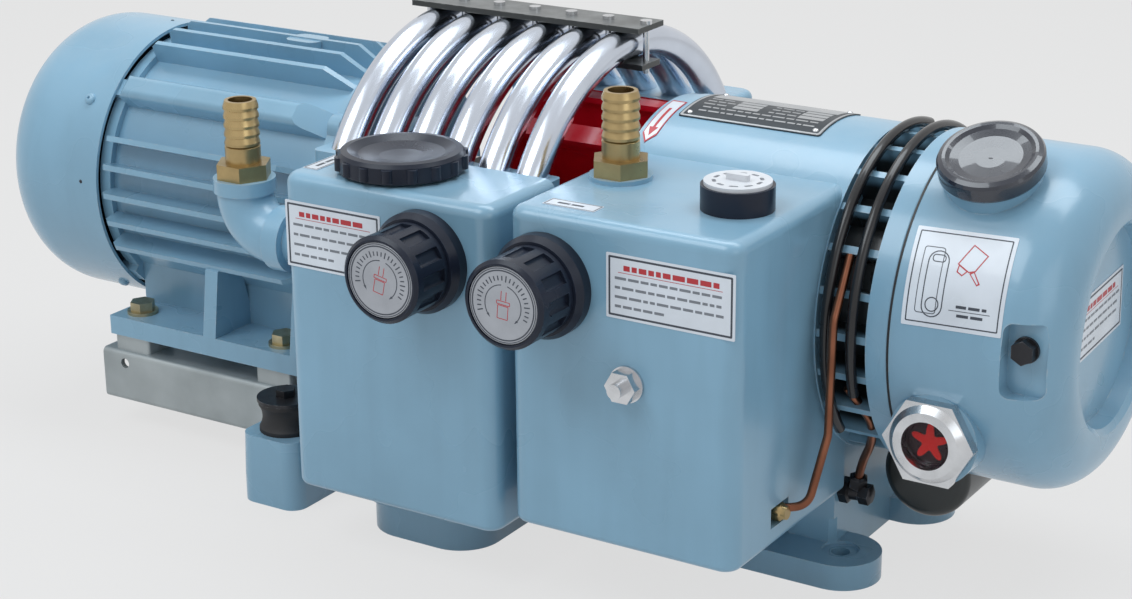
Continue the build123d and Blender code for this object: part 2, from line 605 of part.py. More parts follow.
with BuildPart() as return_housing:
    disc(facing(RETURN_X, 60.0, RETURN_Z), RETURN_R, 85.0)
    fillet(return_housing.edges().filter_by(GeomType.CIRCLE), 6.0)
    disc(across(PUMP_X1, 0, SHAFT_H), OIL_R + GAP + 0.4, OIL_LEN, Mode.SUBTRACT)
save(return_housing, "oil_return_housing")

# ================================================================ chambers
EDGE_R = 12.0
VC_X = (VC_X0 + VC_X1) / 2
PC_X = (PC_X0 + PC_X1) / 2
VC_BACK = -58.0
KNOB_Z = SHAFT_H + 40.0
KNOB_P_X = PC_X + 32.0
KNOB_V_X = VC_X0 + 29.0
PORT_R = 12.0
BARB_V = (VC_X0 + 31.0, -125.0)
VENT = (VC_X1 - 37.0, -146.0)
STUD_X = VC_X1 - 76.0
STUD_Z = SHAFT_H - 15.0
PCAP = (PC_X - 16.0, -169.0)
PCAP_OPENING = 24.0
ELBOW_Y = -160.0
ELBOW_Z = SHAFT_H + 14.0
ELBOW_REACH = 76.0
ELBOW_RISE = 40.0
ELBOW_TURN = 30.0
COPPER_SLOT_Z = VC_Z0 + 20.0
COPPER_SLOT_Y = -140.0
VC_CAVITY_BACK = -120.0  # the chamber is solid from here to the cylinder


def box_shell(x0, x1, y0, y1, z0, z1):
    """A cast chamber: a block with rounded front corners."""
    with BuildSketch(Plane.XY.offset(z0), mode=Mode.PRIVATE) as outline:
        with Locations(((x0 + x1) / 2, (y0 + y1) / 2)):
            Rectangle(x1 - x0, y1 - y0)
        front = outline.vertices().group_by(Axis.Y)[0]
        fillet(front, EDGE_R)
    extrude(outline.sketch, amount=z1 - z0)


with BuildPart() as vacuum_chamber:
    box_shell(VC_X0, VC_X1, CHAMBER_FRONT, VC_BACK, VC_Z0, VC_Z1)
    fillet(vacuum_chamber.faces().sort_by(Axis.Z)[-1].edges().sort_by(Axis.Y)[:5], 8.0)
    fillet(vacuum_chamber.faces().sort_by(Axis.Z)[0].edges().sort_by(Axis.Y)[:5], 5.0)
    disc(across(VC_X0 - 1.0), PUMP_R, CHAMBER_W + 2.0, Mode.SUBTRACT)
    with BuildSketch(Plane.XY.offset(VC_Z0 + WALL)):
        with Locations((VC_X, (CHAMBER_FRONT + VC_CAVITY_BACK) / 2)):
            RectangleRounded(CHAMBER_W - 3.0 - 2 * WALL, VC_CAVITY_BACK - CHAMBER_FRONT - 2 * WALL, 8.0)
    extrude(amount=VC_Z1 - VC_Z0 - 2 * WALL, mode=Mode.SUBTRACT)
    with BuildSketch(Plane.XY.offset(VC_Z1 - 1.0)):
        with Locations(BARB_V):
            Circle(21.0)
    extrude(amount=4.0)
    disc(Plane.XY.offset(VC_Z1 - WALL - 2.0) * Pos(*BARB_V), PORT_R, 20.0, Mode.SUBTRACT)
    disc(facing(KNOB_V_X, CHAMBER_FRONT + WALL + 2.0, KNOB_Z), PORT_R, 20.0, Mode.SUBTRACT)
    with BuildSketch(facing(VC_X1 - 6.0, COPPER_SLOT_Y, COPPER_SLOT_Z)):
        Rectangle(24.0, 14.0)
    extrude(amount=24.0, mode=Mode.SUBTRACT)
save(vacuum_chamber, "vacuum_chamber")

with BuildPart() as pressure_chamber:
    box_shell(PC_X0, PC_X1, CHAMBER_FRONT, PC_BACK, PC_Z0, PC_Z1)
    fillet(pressure_chamber.faces().sort_by(Axis.Z)[-1].edges().sort_by(Axis.Y)[:5], 8.0)
    fillet(pressure_chamber.faces().sort_by(Axis.Z)[0].edges().sort_by(Axis.Y)[:5], 5.0)
    with BuildSketch(Plane.XY.offset(PC_Z0 + WALL)):
        with Locations((PC_X, (CHAMBER_FRONT + PC_BACK) / 2)):
            RectangleRounded(CHAMBER_W - 2 * WALL, PC_BACK - CHAMBER_FRONT - 2 * WALL, 8.0)
    extrude(amount=PC_Z1 - PC_Z0 - 2 * WALL, mode=Mode.SUBTRACT)
    with BuildSketch(Plane.XY.offset(PC_Z1 - 1.0)):
        with Locations(PCAP):
            Circle(PCAP_OPENING + 8.0)
    extrude(amount=3.0)
    disc(Plane.XY.offset(PC_Z1 - WALL - 2.0) * Pos(*PCAP), PCAP_OPENING, 20.0, Mode.SUBTRACT)
    disc(facing(KNOB_P_X, CHAMBER_FRONT + WALL + 2.0, KNOB_Z), PORT_R, 20.0, Mode.SUBTRACT)
    disc(across(PC_X0 - 1.0, ELBOW_Y, ELBOW_Z), PORT_R, WALL + 3.0, Mode.SUBTRACT)
save(pressure_chamber, "pressure_chamber")

FILTER_R = 26.0
FILTER_H = 150.0

with BuildPart() as ceramic_filter:
    ring(Plane.XY.offset(PC_Z0 + WALL) * Pos(PCAP[0], -175.0), FILTER_R, 14.0, FILTER_H)
save(ceramic_filter, "ceramic_filter")

LOBES = 16
PCAP_R = 45.0
PCAP_Z = PC_Z1 + 2.0

with BuildPart() as pressure_cap:
    turned(((0, 0), (PCAP_R - 2.5, 0), (PCAP_R - 2.5, 10.5), (PCAP_R - 4.5, 13.0), (PCAP_R - 9.0, 13.5),
            (PCAP_R - 16.0, 10.5), (PCAP_R - 30.0, 8.5), (0, 8.0)),
           axis=Axis((PCAP[0], PCAP[1], 0), (0, 0, 1)), plane=facing(PCAP[0], PCAP[1], PCAP_Z))
    with BuildSketch(Plane.XY.offset(PCAP_Z + 1.0) * Pos(*PCAP)):
        with PolarLocations(PCAP_R - 4.0, LOBES):
            Circle(4.0)
    extrude(amount=9.0)
    ring(Plane.XY.offset(PCAP_Z - 14.0) * Pos(*PCAP), PCAP_OPENING - GAP, PCAP_OPENING - 4.0, 15.0)
save(pressure_cap, "pressure_cap")

# ---------------------------------------------------------------- pipe elbow and hose barbs
ELBOW_X = PC_X0 - ELBOW_REACH
PIPE_R = 17.0
PIPE_BORE = 12.0
HOSE_R = 12.5
HOSE_BORE = 8.5
HOSE_HEX_R = 20.0

with BuildPart() as elbow:
    ring(across(ELBOW_X + ELBOW_TURN, ELBOW_Y, ELBOW_Z), PIPE_R, PIPE_BORE, ELBOW_REACH - ELBOW_TURN)
    ring(across(ELBOW_X + ELBOW_TURN, ELBOW_Y, ELBOW_Z), PIPE_R + 6.0, PIPE_R - 1.0, 14.0)
    with BuildSketch(across(ELBOW_X + ELBOW_TURN, ELBOW_Y, ELBOW_Z)):
        Circle(PIPE_R + 3.0)
        Circle(PIPE_BORE, mode=Mode.SUBTRACT)
    revolve(axis=Axis((ELBOW_X + ELBOW_TURN, ELBOW_Y, ELBOW_Z + ELBOW_TURN), (0, 1, 0)), revolution_arc=90)
    ring(Plane.XY.offset(ELBOW_Z + ELBOW_TURN) * Pos(ELBOW_X, ELBOW_Y), PIPE_R + 5.0, PIPE_BORE,
         ELBOW_RISE - ELBOW_TURN)
save(elbow, "pipe_elbow")


def barb_outline(z0):
    """Half section of the barbed tail, from its base up."""
    rises = []
    for i in range(5):
        z = z0 + 13.0 + i * 6.4
        rises += [(HOSE_R - 1.4, z), (HOSE_R, z + 0.4), (HOSE_R, z + 2.2)]
    return [(HOSE_BORE, z0), (HOSE_R, z0), (HOSE_R, z0 + 12.0)] + rises + [(HOSE_R - 1.4, z0 + 45.0),
                                                                          (HOSE_BORE, z0 + 45.0)]


for word, x, y, z0 in (("pressure", ELBOW_X, ELBOW_Y, ELBOW_Z + ELBOW_RISE),
                       ("vacuum", BARB_V[0], BARB_V[1], VC_Z1 + 3.0)):
    with BuildPart() as barb:
        prism(Plane.XY.offset(z0) * Pos(x, y), HOSE_HEX_R, 6, 11.0)
        disc(Plane.XY.offset(z0) * Pos(x, y), HOSE_BORE, 11.0, Mode.SUBTRACT)
        turned(barb_outline(10.5), axis=Axis((x, y, z0), (0, 0, 1)),
               plane=Plane(origin=(x, y, z0), x_dir=(1, 0, 0), z_dir=(0, -1, 0)))
    save(barb, f"hose_barb_{word}")

VENT_R = 23.5
VENT_H = 16.0

with BuildPart() as vent_body:
    disc(Plane.XY.offset(VC_Z1) * Pos(*VENT), VENT_R, VENT_H)
save(vent_body, "vent_body")

with BuildPart() as vent_cap:
    disc(Plane.XY.offset(VC_Z1 + VENT_H) * Pos(*VENT), VENT_R - 2.0, 2.5)
    with BuildSketch(Plane.XY.offset(VC_Z1 + VENT_H) * Pos(*VENT)):
        with PolarLocations(15.0, 10):
            SlotOverall(6.0, 2.6, rotation=90)
    extrude(amount=3.0, mode=Mode.SUBTRACT)
    with BuildSketch(Plane.XY.offset(VC_Z1 + VENT_H + 2.5) * Pos(*VENT)):
        RectangleRounded(16.0, 5.0, 2.0)
    extrude(amount=4.0)
save(vent_cap, "vent_cap")

with BuildPart() as stud:
    disc(facing(STUD_X, CHAMBER_FRONT, STUD_Z), 12.0, 2.0)
    prism(facing(STUD_X, CHAMBER_FRONT - 2.0, STUD_Z), 11.0, 6, 8.0)
    disc(facing(STUD_X, CHAMBER_FRONT - 10.0, STUD_Z), 5.0, 7.0)
save(stud, "stud_and_nut")

# ================================================================ control valves
COLLAR_R = 34.0
COLLAR_L = 13.0
KNOB_L = 35.0
DISC_T = 3.0
FLUTES = 12

for word, x in (("pressure", KNOB_P_X), ("vacuum", KNOB_V_X)):
    collar_face = CHAMBER_FRONT - COLLAR_L
    knob_face = collar_face - GAP - KNOB_L
    with BuildPart() as collar:
        turned(((COLLAR_R, 0), (COLLAR_R, 8.0), (COLLAR_R - 3.0, COLLAR_L), (16.0, COLLAR_L), (16.0, 0)),
               axis=Axis((x, CHAMBER_FRONT, KNOB_Z), (0, -1, 0)),
               plane=Plane(origin=(x, CHAMBER_FRONT, KNOB_Z), x_dir=(1, 0, 0), z_dir=(0, 0, -1)))
    save(collar, f"valve_collar_{word}")
    with BuildPart() as knob:
        disc(facing(x, collar_face - GAP, KNOB_Z), KNOB_R, KNOB_L)
        with BuildSketch(facing(x, collar_face - GAP - 4.0, KNOB_Z)):
            with PolarLocations(KNOB_R + 1.0, FLUTES):
                RectangleRounded(7.0, 9.0, 2.5)
        extrude(amount=KNOB_L - 12.0, mode=Mode.SUBTRACT)
        disc(facing(x, collar_face - GAP, KNOB_Z), KNOB_R - 12.0, KNOB_L - 9.0, Mode.SUBTRACT)
        disc(facing(x, knob_face + 1.5, KNOB_Z), KNOB_R - 3.5, 2.5, Mode.SUBTRACT)
        chamfer(knob.edges().filter_by(GeomType.CIRCLE).group_by(Axis.Y)[0].sort_by(SortBy.RADIUS)[-1:], 2.2)
    save(knob, f"valve_knob_{word}")
    with BuildPart() as plunger:
        disc(facing(x, CHAMBER_FRONT, KNOB_Z), PORT_R + 2.0, DISC_T)
        disc(facing(x, CHAMBER_FRONT + 6.0, KNOB_Z), PORT_R - GAP, 6.0)
    save(plunger, f"valve_disc_{word}")

# ================================================================ cooling tubes and their headers
HEADER_X0 = TUBE_X_LAST - (TUBES - 1) * TUBE_PITCH - TUBE_R - 6.0
HEADER_X1 = TUBE_X_LAST + TUBE_R + 6.0
HEADER_T = 31.0
HEADER_H = 36.0
REAR_Y0 = 108.0
REAR_Y1 = 172.0
REAR_Z0 = SHAFT_H - 30.0
TUBE_X = [TUBE_X_LAST - i * TUBE_PITCH for i in range(TUBES)]

with BuildPart() as front_header:
    with BuildSketch(Plane.XY.offset(HEADER_TOP - HEADER_H)):
        with Locations(((HEADER_X0 + HEADER_X1) / 2, PC_BACK + HEADER_T / 2)):
            RectangleRounded(HEADER_X1 - HEADER_X0, HEADER_T, 5.0)
    extrude(amount=HEADER_H)
save(front_header, "front_tube_header")

with BuildPart() as rear_header:
    with BuildSketch(Plane.XY.offset(REAR_Z0)):
        with Locations(((HEADER_X0 + HEADER_X1) / 2, (REAR_Y0 + REAR_Y1) / 2)):
            RectangleRounded(HEADER_X1 - HEADER_X0, REAR_Y1 - REAR_Y0, 12.0)
    extrude(amount=HEADER_TOP - REAR_Z0)
    fillet(rear_header.faces().sort_by(Axis.Z)[-1].edges(), 6.0)
    with BuildSketch(Plane.XY.offset(PC_Z0)):
        with Locations(((PEDESTAL_X0 + PEDESTAL_X1) / 2, (PEDESTAL_Y + 122.0) / 2)):
            RectangleRounded(PEDESTAL_X1 - PEDESTAL_X0 - 16.0, PEDESTAL_Y - 130.0, 8.0)
    extrude(amount=REAR_Z0 - PC_Z0)
save(rear_header, "rear_tube_header")

for number, x in enumerate(TUBE_X, 1):
    with BuildPart() as tube:
        with BuildSketch(Plane(origin=(x, TUBE_C_Y, TUBE_C_Z), x_dir=(1, 0, 0), z_dir=(0, 0, 1))):
            with Locations((0, TUBE_RING_R)):
                Circle(TUBE_R)
        revolve(axis=Axis((x, TUBE_C_Y, TUBE_C_Z), (1, 0, 0)), revolution_arc=180)
        split(bisect_by=Plane.XY.offset(HEADER_TOP), keep=Keep.TOP)
    save(tube, f"cooling_tube_{number}")

STRIP_X0 = TUBE_X[-1] - TUBE_PITCH / 2 - 4.0
STRIP_X1 = TUBE_X[0] + TUBE_PITCH / 2 + 4.0
STRIP_W = 34.0
LOWER_DROP = 0.8         # the lower strip is flat and the tubes curve towards it
STRIP_Y = TUBE_C_Y
CLAMP_X = [TUBE_X[-1] + (i - 0.5) * TUBE_PITCH for i in range(TUBES + 1)]

with BuildPart() as clamp_strip:
    with BuildSketch(Plane.XY.offset(TUBE_TOP)):
        with Locations(((STRIP_X0 + STRIP_X1) / 2, STRIP_Y)):
            Rectangle(STRIP_X1 - STRIP_X0, STRIP_W)
        with Locations(*[(x, STRIP_Y) for x in CLAMP_X]):
            Circle(2.2, mode=Mode.SUBTRACT)
    extrude(amount=4.0)
    with BuildSketch(Plane.XY.offset(TUBE_TOP - 2 * TUBE_R - 4.0 - LOWER_DROP)):
        with Locations(((STRIP_X0 + STRIP_X1) / 2, STRIP_Y)):
            Rectangle(STRIP_X1 - STRIP_X0, STRIP_W - 10.0)
        with Locations(*[(x, STRIP_Y) for x in CLAMP_X]):
            Circle(2.2, mode=Mode.SUBTRACT)
    extrude(amount=4.0)
save(clamp_strip, "clamp_strips")

with BuildPart() as clamp_screws:
    with BuildSketch(Plane.XY.offset(TUBE_TOP - 2 * TUBE_R - 9.0)):
        with Locations(*[(x, STRIP_Y) for x in CLAMP_X]):
            Circle(2.2)
    extrude(amount=2 * TUBE_R + 13.0)
    with BuildSketch(Plane.XY.offset(TUBE_TOP + 4.0)):
        with Locations(*[(x, STRIP_Y) for x in CLAMP_X]):
            Circle(4.2)
    extrude(amount=2.6)
save(clamp_screws, "clamp_screws")

# ================================================================ oil pipes in the lantern gap
OIL_TUBE_R = 3.6
OIL_TUBE_RING = OIL_R + 0.1

for number, (x, start, span) in enumerate(((PUMP_X1 + 8.0, 70.0, 150.0), (PUMP_X1 + 26.0, 60.0, 140.0)), 1):
    with BuildPart() as oil_tube:
        flat = Plane(origin=(x, 0, SHAFT_H), x_dir=(1, 0, 0), z_dir=(0, 0, 1))
        with BuildSketch(flat.rotated((start, 0, 0))):
            with Locations((0, OIL_TUBE_RING)):
                Circle(OIL_TUBE_R)
        revolve(axis=Axis((x, 0, SHAFT_H), (1, 0, 0)), revolution_arc=span)
    save(oil_tube, f"oil_tube_{number}")


def pipe(points, radius, bend):
    """A bent pipe: straight runs joined by tangent arcs."""
    with BuildLine(mode=Mode.PRIVATE) as route:
        FilletPolyline(*points, radius=bend)
    with BuildSketch(Plane(origin=route.line @ 0, z_dir=route.line % 0), mode=Mode.PRIVATE) as section:
        Circle(radius)
    sweep(section.sketch, path=route.line)


COPPER_X = PUMP_X1 + 17.0

with BuildPart() as copper_pipe:
    pipe([(COPPER_X, 15.0 - OIL_R, SHAFT_H + 52.0), (COPPER_X, -7.0 - OIL_R, SHAFT_H + 14.0),
          (COPPER_X, -10.0 - OIL_R, SHAFT_H - 62.0), (COPPER_X - 4.0, COPPER_SLOT_Y, COPPER_SLOT_Z + 4.0),
          (VC_X1 - 8.0, COPPER_SLOT_Y - 10.0, COPPER_SLOT_Z)], 2.8, 12.0)
save(copper_pipe, "copper_pipe")
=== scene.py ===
"""Dresses the rotary vane pump: finishes, plates, fasteners, small fittings and the stage."""
import json
import math
import random

import bmesh
import bpy
from bpy.props import FloatProperty, FloatVectorProperty, IntProperty, PointerProperty
from mathutils import Matrix, Vector


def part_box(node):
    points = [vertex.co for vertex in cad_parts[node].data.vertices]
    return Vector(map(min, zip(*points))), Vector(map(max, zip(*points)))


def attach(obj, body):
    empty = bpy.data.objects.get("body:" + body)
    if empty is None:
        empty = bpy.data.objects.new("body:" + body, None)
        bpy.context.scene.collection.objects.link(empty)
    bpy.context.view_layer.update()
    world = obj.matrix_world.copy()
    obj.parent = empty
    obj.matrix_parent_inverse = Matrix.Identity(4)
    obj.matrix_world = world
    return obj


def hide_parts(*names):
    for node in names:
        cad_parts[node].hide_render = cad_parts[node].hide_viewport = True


bl_info = {
    "name": "Rotary Vane Pump Dressing",
    "version": (1, 0, 0),
    "blender": (4, 5, 0),
    "location": "View3D > Sidebar > Pump",
    "description": "Finishes, plates, fasteners and small fittings for an oil-lubricated rotary vane pump",
    "category": "Object",
}

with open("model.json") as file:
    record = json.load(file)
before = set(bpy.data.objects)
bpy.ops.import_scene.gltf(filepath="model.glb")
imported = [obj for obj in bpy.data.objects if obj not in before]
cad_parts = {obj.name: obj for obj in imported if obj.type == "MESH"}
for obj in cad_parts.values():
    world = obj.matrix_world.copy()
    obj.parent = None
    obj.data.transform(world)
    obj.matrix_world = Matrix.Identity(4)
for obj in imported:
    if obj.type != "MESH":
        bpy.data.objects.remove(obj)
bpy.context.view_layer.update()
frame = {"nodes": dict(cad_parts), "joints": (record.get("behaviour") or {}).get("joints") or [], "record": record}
RECORD = frame["record"]
SLOT_OF = {part["node"]: part["material_slot"] for part in RECORD["subparts"]}
JOINT = {joint["name"]: joint for joint in frame["joints"]}

FRONT = Vector((0, -1, 0))
BACK = Vector((0, 1, 0))
RIGHT = Vector((1, 0, 0))
LEFT = Vector((-1, 0, 0))
UP = Vector((0, 0, 1))
MM = 0.001
SHAFT_Z = JOINT["shaft_spin"]["pos_m"][2]
SINK = 0.2 * MM           # how far an applied piece sits into what carries it
SHARP = 35.0              # degrees of bend from which an edge stays sharp
STRIP = 4 * MM            # how often a form on a drum is cut across so that it bends
TEXT = 1.7 * MM           # height of a bar that stands for a word
SPLIT_ROWS = 3            # rows of the name plate that stand in two columns
TICKS = 24                # on a control knob's disc
STAR_LOBES, STAR_POINTS = 5, 80

# Places of the small pieces, in millimetres of the shared frame and degrees in front of the top
NAME_PLATE_X = 106.5
ARROW_X, ARROW_TURN = 43.5, 19.0
OIL_LABEL_X, OIL_LABEL_TURN = 290.0, 64.0
VACUUM_LABEL_XZ = (152, 236)
PRESSURE_LABEL_XZ = (-104, 229)
VACUUM_TAG_XY = (70, -193)
PRESSURE_TAG_XY = (-133.5, -180)
END_LABEL_YZ = (-8, 194)
PEDESTAL_X = 191          # right face of the pump's pedestal, which carries the union
UNION_YZ = (-45, 54)
NUT_Y = -150
RETURN_PIPE = ((204, -48, 66), (208, -52, 80), (220, -64, 100),
               (226, -76, 120), (222, -90, 138), (216, -96, 150))

# Yaw, pitch and roll in degrees, place in metres, lens in millimetres
CAMERA_TURN = (32.36, 19.57, -0.52)
CAMERA_AT = (0.8334, -1.4059, 0.7140)
CAMERA_LENS = 76.3
CAMERA_SHIFT = (-0.001, 0.011)


# ---------------- sizes and colours
def colour(name, about, value):
    return FloatVectorProperty(name=name, description=about, default=value, size=3, subtype="COLOR",
                               min=0, max=1)


def length(name, about, value):
    return FloatProperty(name=name, description=about, default=value, unit="LENGTH", min=0)


def share(name, about, value):
    return FloatProperty(name=name, description=about, default=value, subtype="FACTOR", min=0, max=1)


class PumpFinishes(bpy.types.PropertyGroup):
    """Colours and wear of the pump's finishes."""
    paint: colour("Paint", "Enamel on the castings", (0.212, 0.392, 0.530))
    fan: colour("Fan", "Enamel on the coupling fan", (0.62, 0.005, 0.020))
    brass: colour("Brass", "Hose tails", (0.50, 0.37, 0.18))
    copper: colour("Copper", "Oil return pipe", (0.30, 0.12, 0.07))
    plastic: colour("Plastic", "Knobs and caps", (0.012, 0.017, 0.032))
    chrome: colour("Chrome", "Cooling tubes", (0.66, 0.71, 0.80))
    label: colour("Label", "Printed foil", (0.74, 0.79, 0.86))
    wear: share("Wear", "Paint rubbed from the edges", 0.45)
    dust: share("Dust", "Dust on faces that look up", 0.12)


class PumpPlates(bpy.types.PropertyGroup):
    """Sizes of the plates and labels."""
    foil: length("Foil", "Thickness of a label", 0.4 * MM)
    plate: length("Plate", "Thickness of a riveted plate", 0.8 * MM)
    ink: length("Ink", "Height of printed or etched lines", 0.08 * MM)
    name_length: length("Name Plate Length", "Along the shaft", 107 * MM)
    name_width: length("Name Plate Width", "Round the cylinder", 64 * MM)
    rows: IntProperty(name="Rows", description="Blank rows on the name plate", default=5, min=1, max=12)


class PumpHardware(bpy.types.PropertyGroup):
    """Sizes of the small fasteners."""
    cowl_screw: length("Cowl Screw", "Head diameter", 9 * MM)
    box_screw: length("Box Screw", "Head diameter", 7 * MM)
    plate_bolt: length("Plate Bolt", "Width over corners", 14 * MM)
    rivet: length("Rivet", "Head diameter", 4.4 * MM)


class PumpStage(bpy.types.PropertyGroup):
    """Floor and lamps."""
    floor: colour("Floor", "Floor as the camera sees it", (0.80, 0.80, 0.80))
    cool: colour("Lamp", "Colour of the lamps", (0.88, 0.95, 1.0))
    key: FloatProperty(name="Key", description="Power of the large soft lamp", default=25, min=0)
    top: FloatProperty(name="Top", description="Power of the lamp above and behind", default=34, min=0)
    fill: FloatProperty(name="Fill", description="Power of the lamp on the right", default=6, min=0)
    sky: FloatProperty(name="Sky", description="Strength of the light from all round", default=0.60, min=0)


GROUPS = {"pump_finishes": PumpFinishes, "pump_plates": PumpPlates,
          "pump_hardware": PumpHardware, "pump_stage": PumpStage}


# ---------------- node trees
class Web:
    """Adds and joins nodes in one tree."""

    def __init__(self, tree):
        self.tree = tree

    def add(self, kind, settings=None, **inputs):
        """New node with its settings and inputs."""
        node = self.tree.nodes.new(kind)
        for key, value in (settings or {}).items():
            setattr(node, key, value)
        self.feed(node, **inputs)
        return node

    def feed(self, node, **inputs):
        """Links or sets inputs, called by name, with _ for a space, or by number as _0, _1, _2."""
        for key, value in inputs.items():
            number = key[1:]
            socket = node.inputs[int(number)] if number.isdigit() else node.inputs[key.replace("_", " ")]
            if isinstance(value, bpy.types.NodeSocket):
                self.tree.links.new(value, socket)
            elif socket.type == "RGBA" and len(value) == 3:
                socket.default_value = (*value, 1)
            else:
                socket.default_value = value

    def math(self, operation, a, b=0.0, clamp=False):
        return self.add("ShaderNodeMath", {"operation": operation, "use_clamp": clamp}, _0=a, _1=b).outputs[0]

    def product(self, a, b, c):
        """Clamped product of three values."""
        return self.math("MULTIPLY", self.math("MULTIPLY", a, b), c, True)

    def between(self, value, low, high, to_low=0.0, to_high=1.0):
        """Smooth step from to_low at low to to_high at high."""
        node = self.add("ShaderNodeMapRange", {"interpolation_type": "SMOOTHSTEP"}, Value=value,
                        From_Min=low, From_Max=high, To_Min=to_low, To_Max=to_high)
        return node.outputs["Result"]

    def vector(self, operation, a, b, output=0):
        """Vector maths on two inputs; the result is output 0, or Value where it is a number."""
        return self.add("ShaderNodeVectorMath", {"operation": operation}, _0=a, _1=b).outputs[output]

    def mix(self, factor, a, b):
        return self.add("ShaderNodeMix", {"data_type": "RGBA"}, _0=factor, _6=a, _7=b).outputs[2]

    def noise(self, scale, detail=3.0, vector=None, roughness=0.5):
        node = self.add("ShaderNodeTexNoise", None, Vector=vector or self.place(), Scale=scale, Detail=detail,
                        Roughness=roughness)
        return node.outputs["Fac"]

    def place(self):
        """Place on the piece, in its own coordinates."""
        return self.add("ShaderNodeTexCoord").outputs["Object"]

    def bump(self, height, strength, distance):
        node = self.add("ShaderNodeBump", None, Height=height, Strength=strength, Distance=distance)
        return node.outputs["Normal"]

    def normal(self):
        return self.add("ShaderNodeNewGeometry").outputs["Normal"]

    def normal_z(self):
        return self.add("ShaderNodeSeparateXYZ", None, Vector=self.normal()).outputs["Z"]


def shader_group(name, inputs, outputs, fill):
    """A node group with named float or vector sockets, built once."""
    tree = bpy.data.node_groups.get(name)
    if tree:
        return tree
    tree = bpy.data.node_groups.new(name, "ShaderNodeTree")
    for label, value in inputs.items():
        kind = "NodeSocketVector" if hasattr(value, "__len__") else "NodeSocketFloat"
        tree.interface.new_socket(label, in_out="INPUT", socket_type=kind).default_value = value
    for label in outputs:
        tree.interface.new_socket(label, in_out="OUTPUT", socket_type="NodeSocketFloat")
    web = Web(tree)
    source = tree.nodes.new("NodeGroupInput").outputs
    sink = tree.nodes.new("NodeGroupOutput").inputs
    for label, socket in fill(web, source).items():
        tree.links.new(socket, sink[label])
    return tree


def edge_wear_and_highlight(web, source):
    """Where a corner is sharp, broken up by noise: rubbed edges, and on plastics a painted edge highlight."""
    soft = web.add("ShaderNodeBevel", {"samples": 4}, Radius=source["Width"]).outputs[0]
    level = web.vector("DOT_PRODUCT", soft, web.normal(), "Value")
    corner = web.between(level, 0.985, 0.80)
    patches = web.between(web.noise(source["Breakup"], 4.0), 0.46, 0.62)
    return {"Mask": web.product(corner, patches, source["Amount"])}


def settled_dust(web, source):
    """Faint dust where a face looks up."""
    lies = web.between(web.normal_z(), 0.35, 1.0)
    drift = web.between(web.noise(source["Scale"], 5.0, roughness=0.65), 0.2, 0.85)
    return {"Mask": web.product(lies, drift, source["Amount"])}


def cast_skin(web, source):
    """Lumps and orange peel of enamel over a casting."""
    lumps = web.noise(source["Lumps"], 2.0)
    peel = web.noise(source["Peel"], 1.0)
    height = web.math("ADD", web.math("MULTIPLY", lumps, 0.75), web.math("MULTIPLY", peel, 0.25))
    return {"Height": height, "Tone": web.between(web.noise(source["Tone Scale"], 3.0), 0.1, 0.9)}


def tool_lines(web, source):
    """Fine lines left by turning, drawing or brushing."""
    lines = web.noise(1.0, 4.0, web.vector("MULTIPLY", web.place(), source["Stretch"]), 0.6)
    blotch = web.between(web.noise(source["Blotch"], 4.0), 0.2, 0.8)
    return {"Height": lines, "Tone": blotch}


def grime_runs(web, source):
    """Thin runs of old oil down the upright faces."""
    upright = web.between(web.math("ABSOLUTE", web.normal_z()), 0.7, 0.2)
    runs = web.between(web.noise(1.0, 2.0, web.vector("MULTIPLY", web.place(), (60, 60, 7))), 0.35, 0.95)
    return {"Mask": web.product(upright, runs, source["Amount"])}


EFFECTS = {
    "Edge Wear And Highlight": ({"Width": 1.6 * MM, "Breakup": 160.0, "Amount": 0.5}, ("Mask",), edge_wear_and_highlight),
    "Settled Dust": ({"Scale": 35.0, "Amount": 0.3}, ("Mask",), settled_dust),
    "Cast Skin": ({"Lumps": 120.0, "Peel": 700.0, "Tone Scale": 9.0}, ("Height", "Tone"), cast_skin),
    "Tool Lines": ({"Stretch": (900.0, 900.0, 900.0), "Blotch": 30.0}, ("Height", "Tone"), tool_lines),
    "Grime Runs": ({"Amount": 0.2}, ("Mask",), grime_runs),
}


def effect(web, name, **inputs):
    """Outputs of a shared effect, put into the tree."""
    sockets, outputs, fill = EFFECTS[name]
    tree = shader_group(name, sockets, outputs, fill)
    return web.add("ShaderNodeGroup", {"node_tree": tree}, **inputs).outputs


def begin(name):
    """New material with its tree and its Principled shader."""
    material = bpy.data.materials.new(name)
    material.use_nodes = True
    return material, Web(material.node_tree), material.node_tree.nodes["Principled BSDF"]


def scaled(base, factor):
    return tuple(min(1.0, c * factor) for c in base)


BARE_IRON = (0.50, 0.52, 0.52)
PAINT_DUST = (0.55, 0.57, 0.57)
PLASTIC_DUST = (0.42, 0.42, 0.40)
# Near black painted shade, with some oil film, deep in the lantern between its ribs
DARK_SHADE_AND_OIL = (0.016, 0.020, 0.022)
SHADE_AND_OIL_FADE = 9 * MM         # width over which the painted shade and oil film fade out
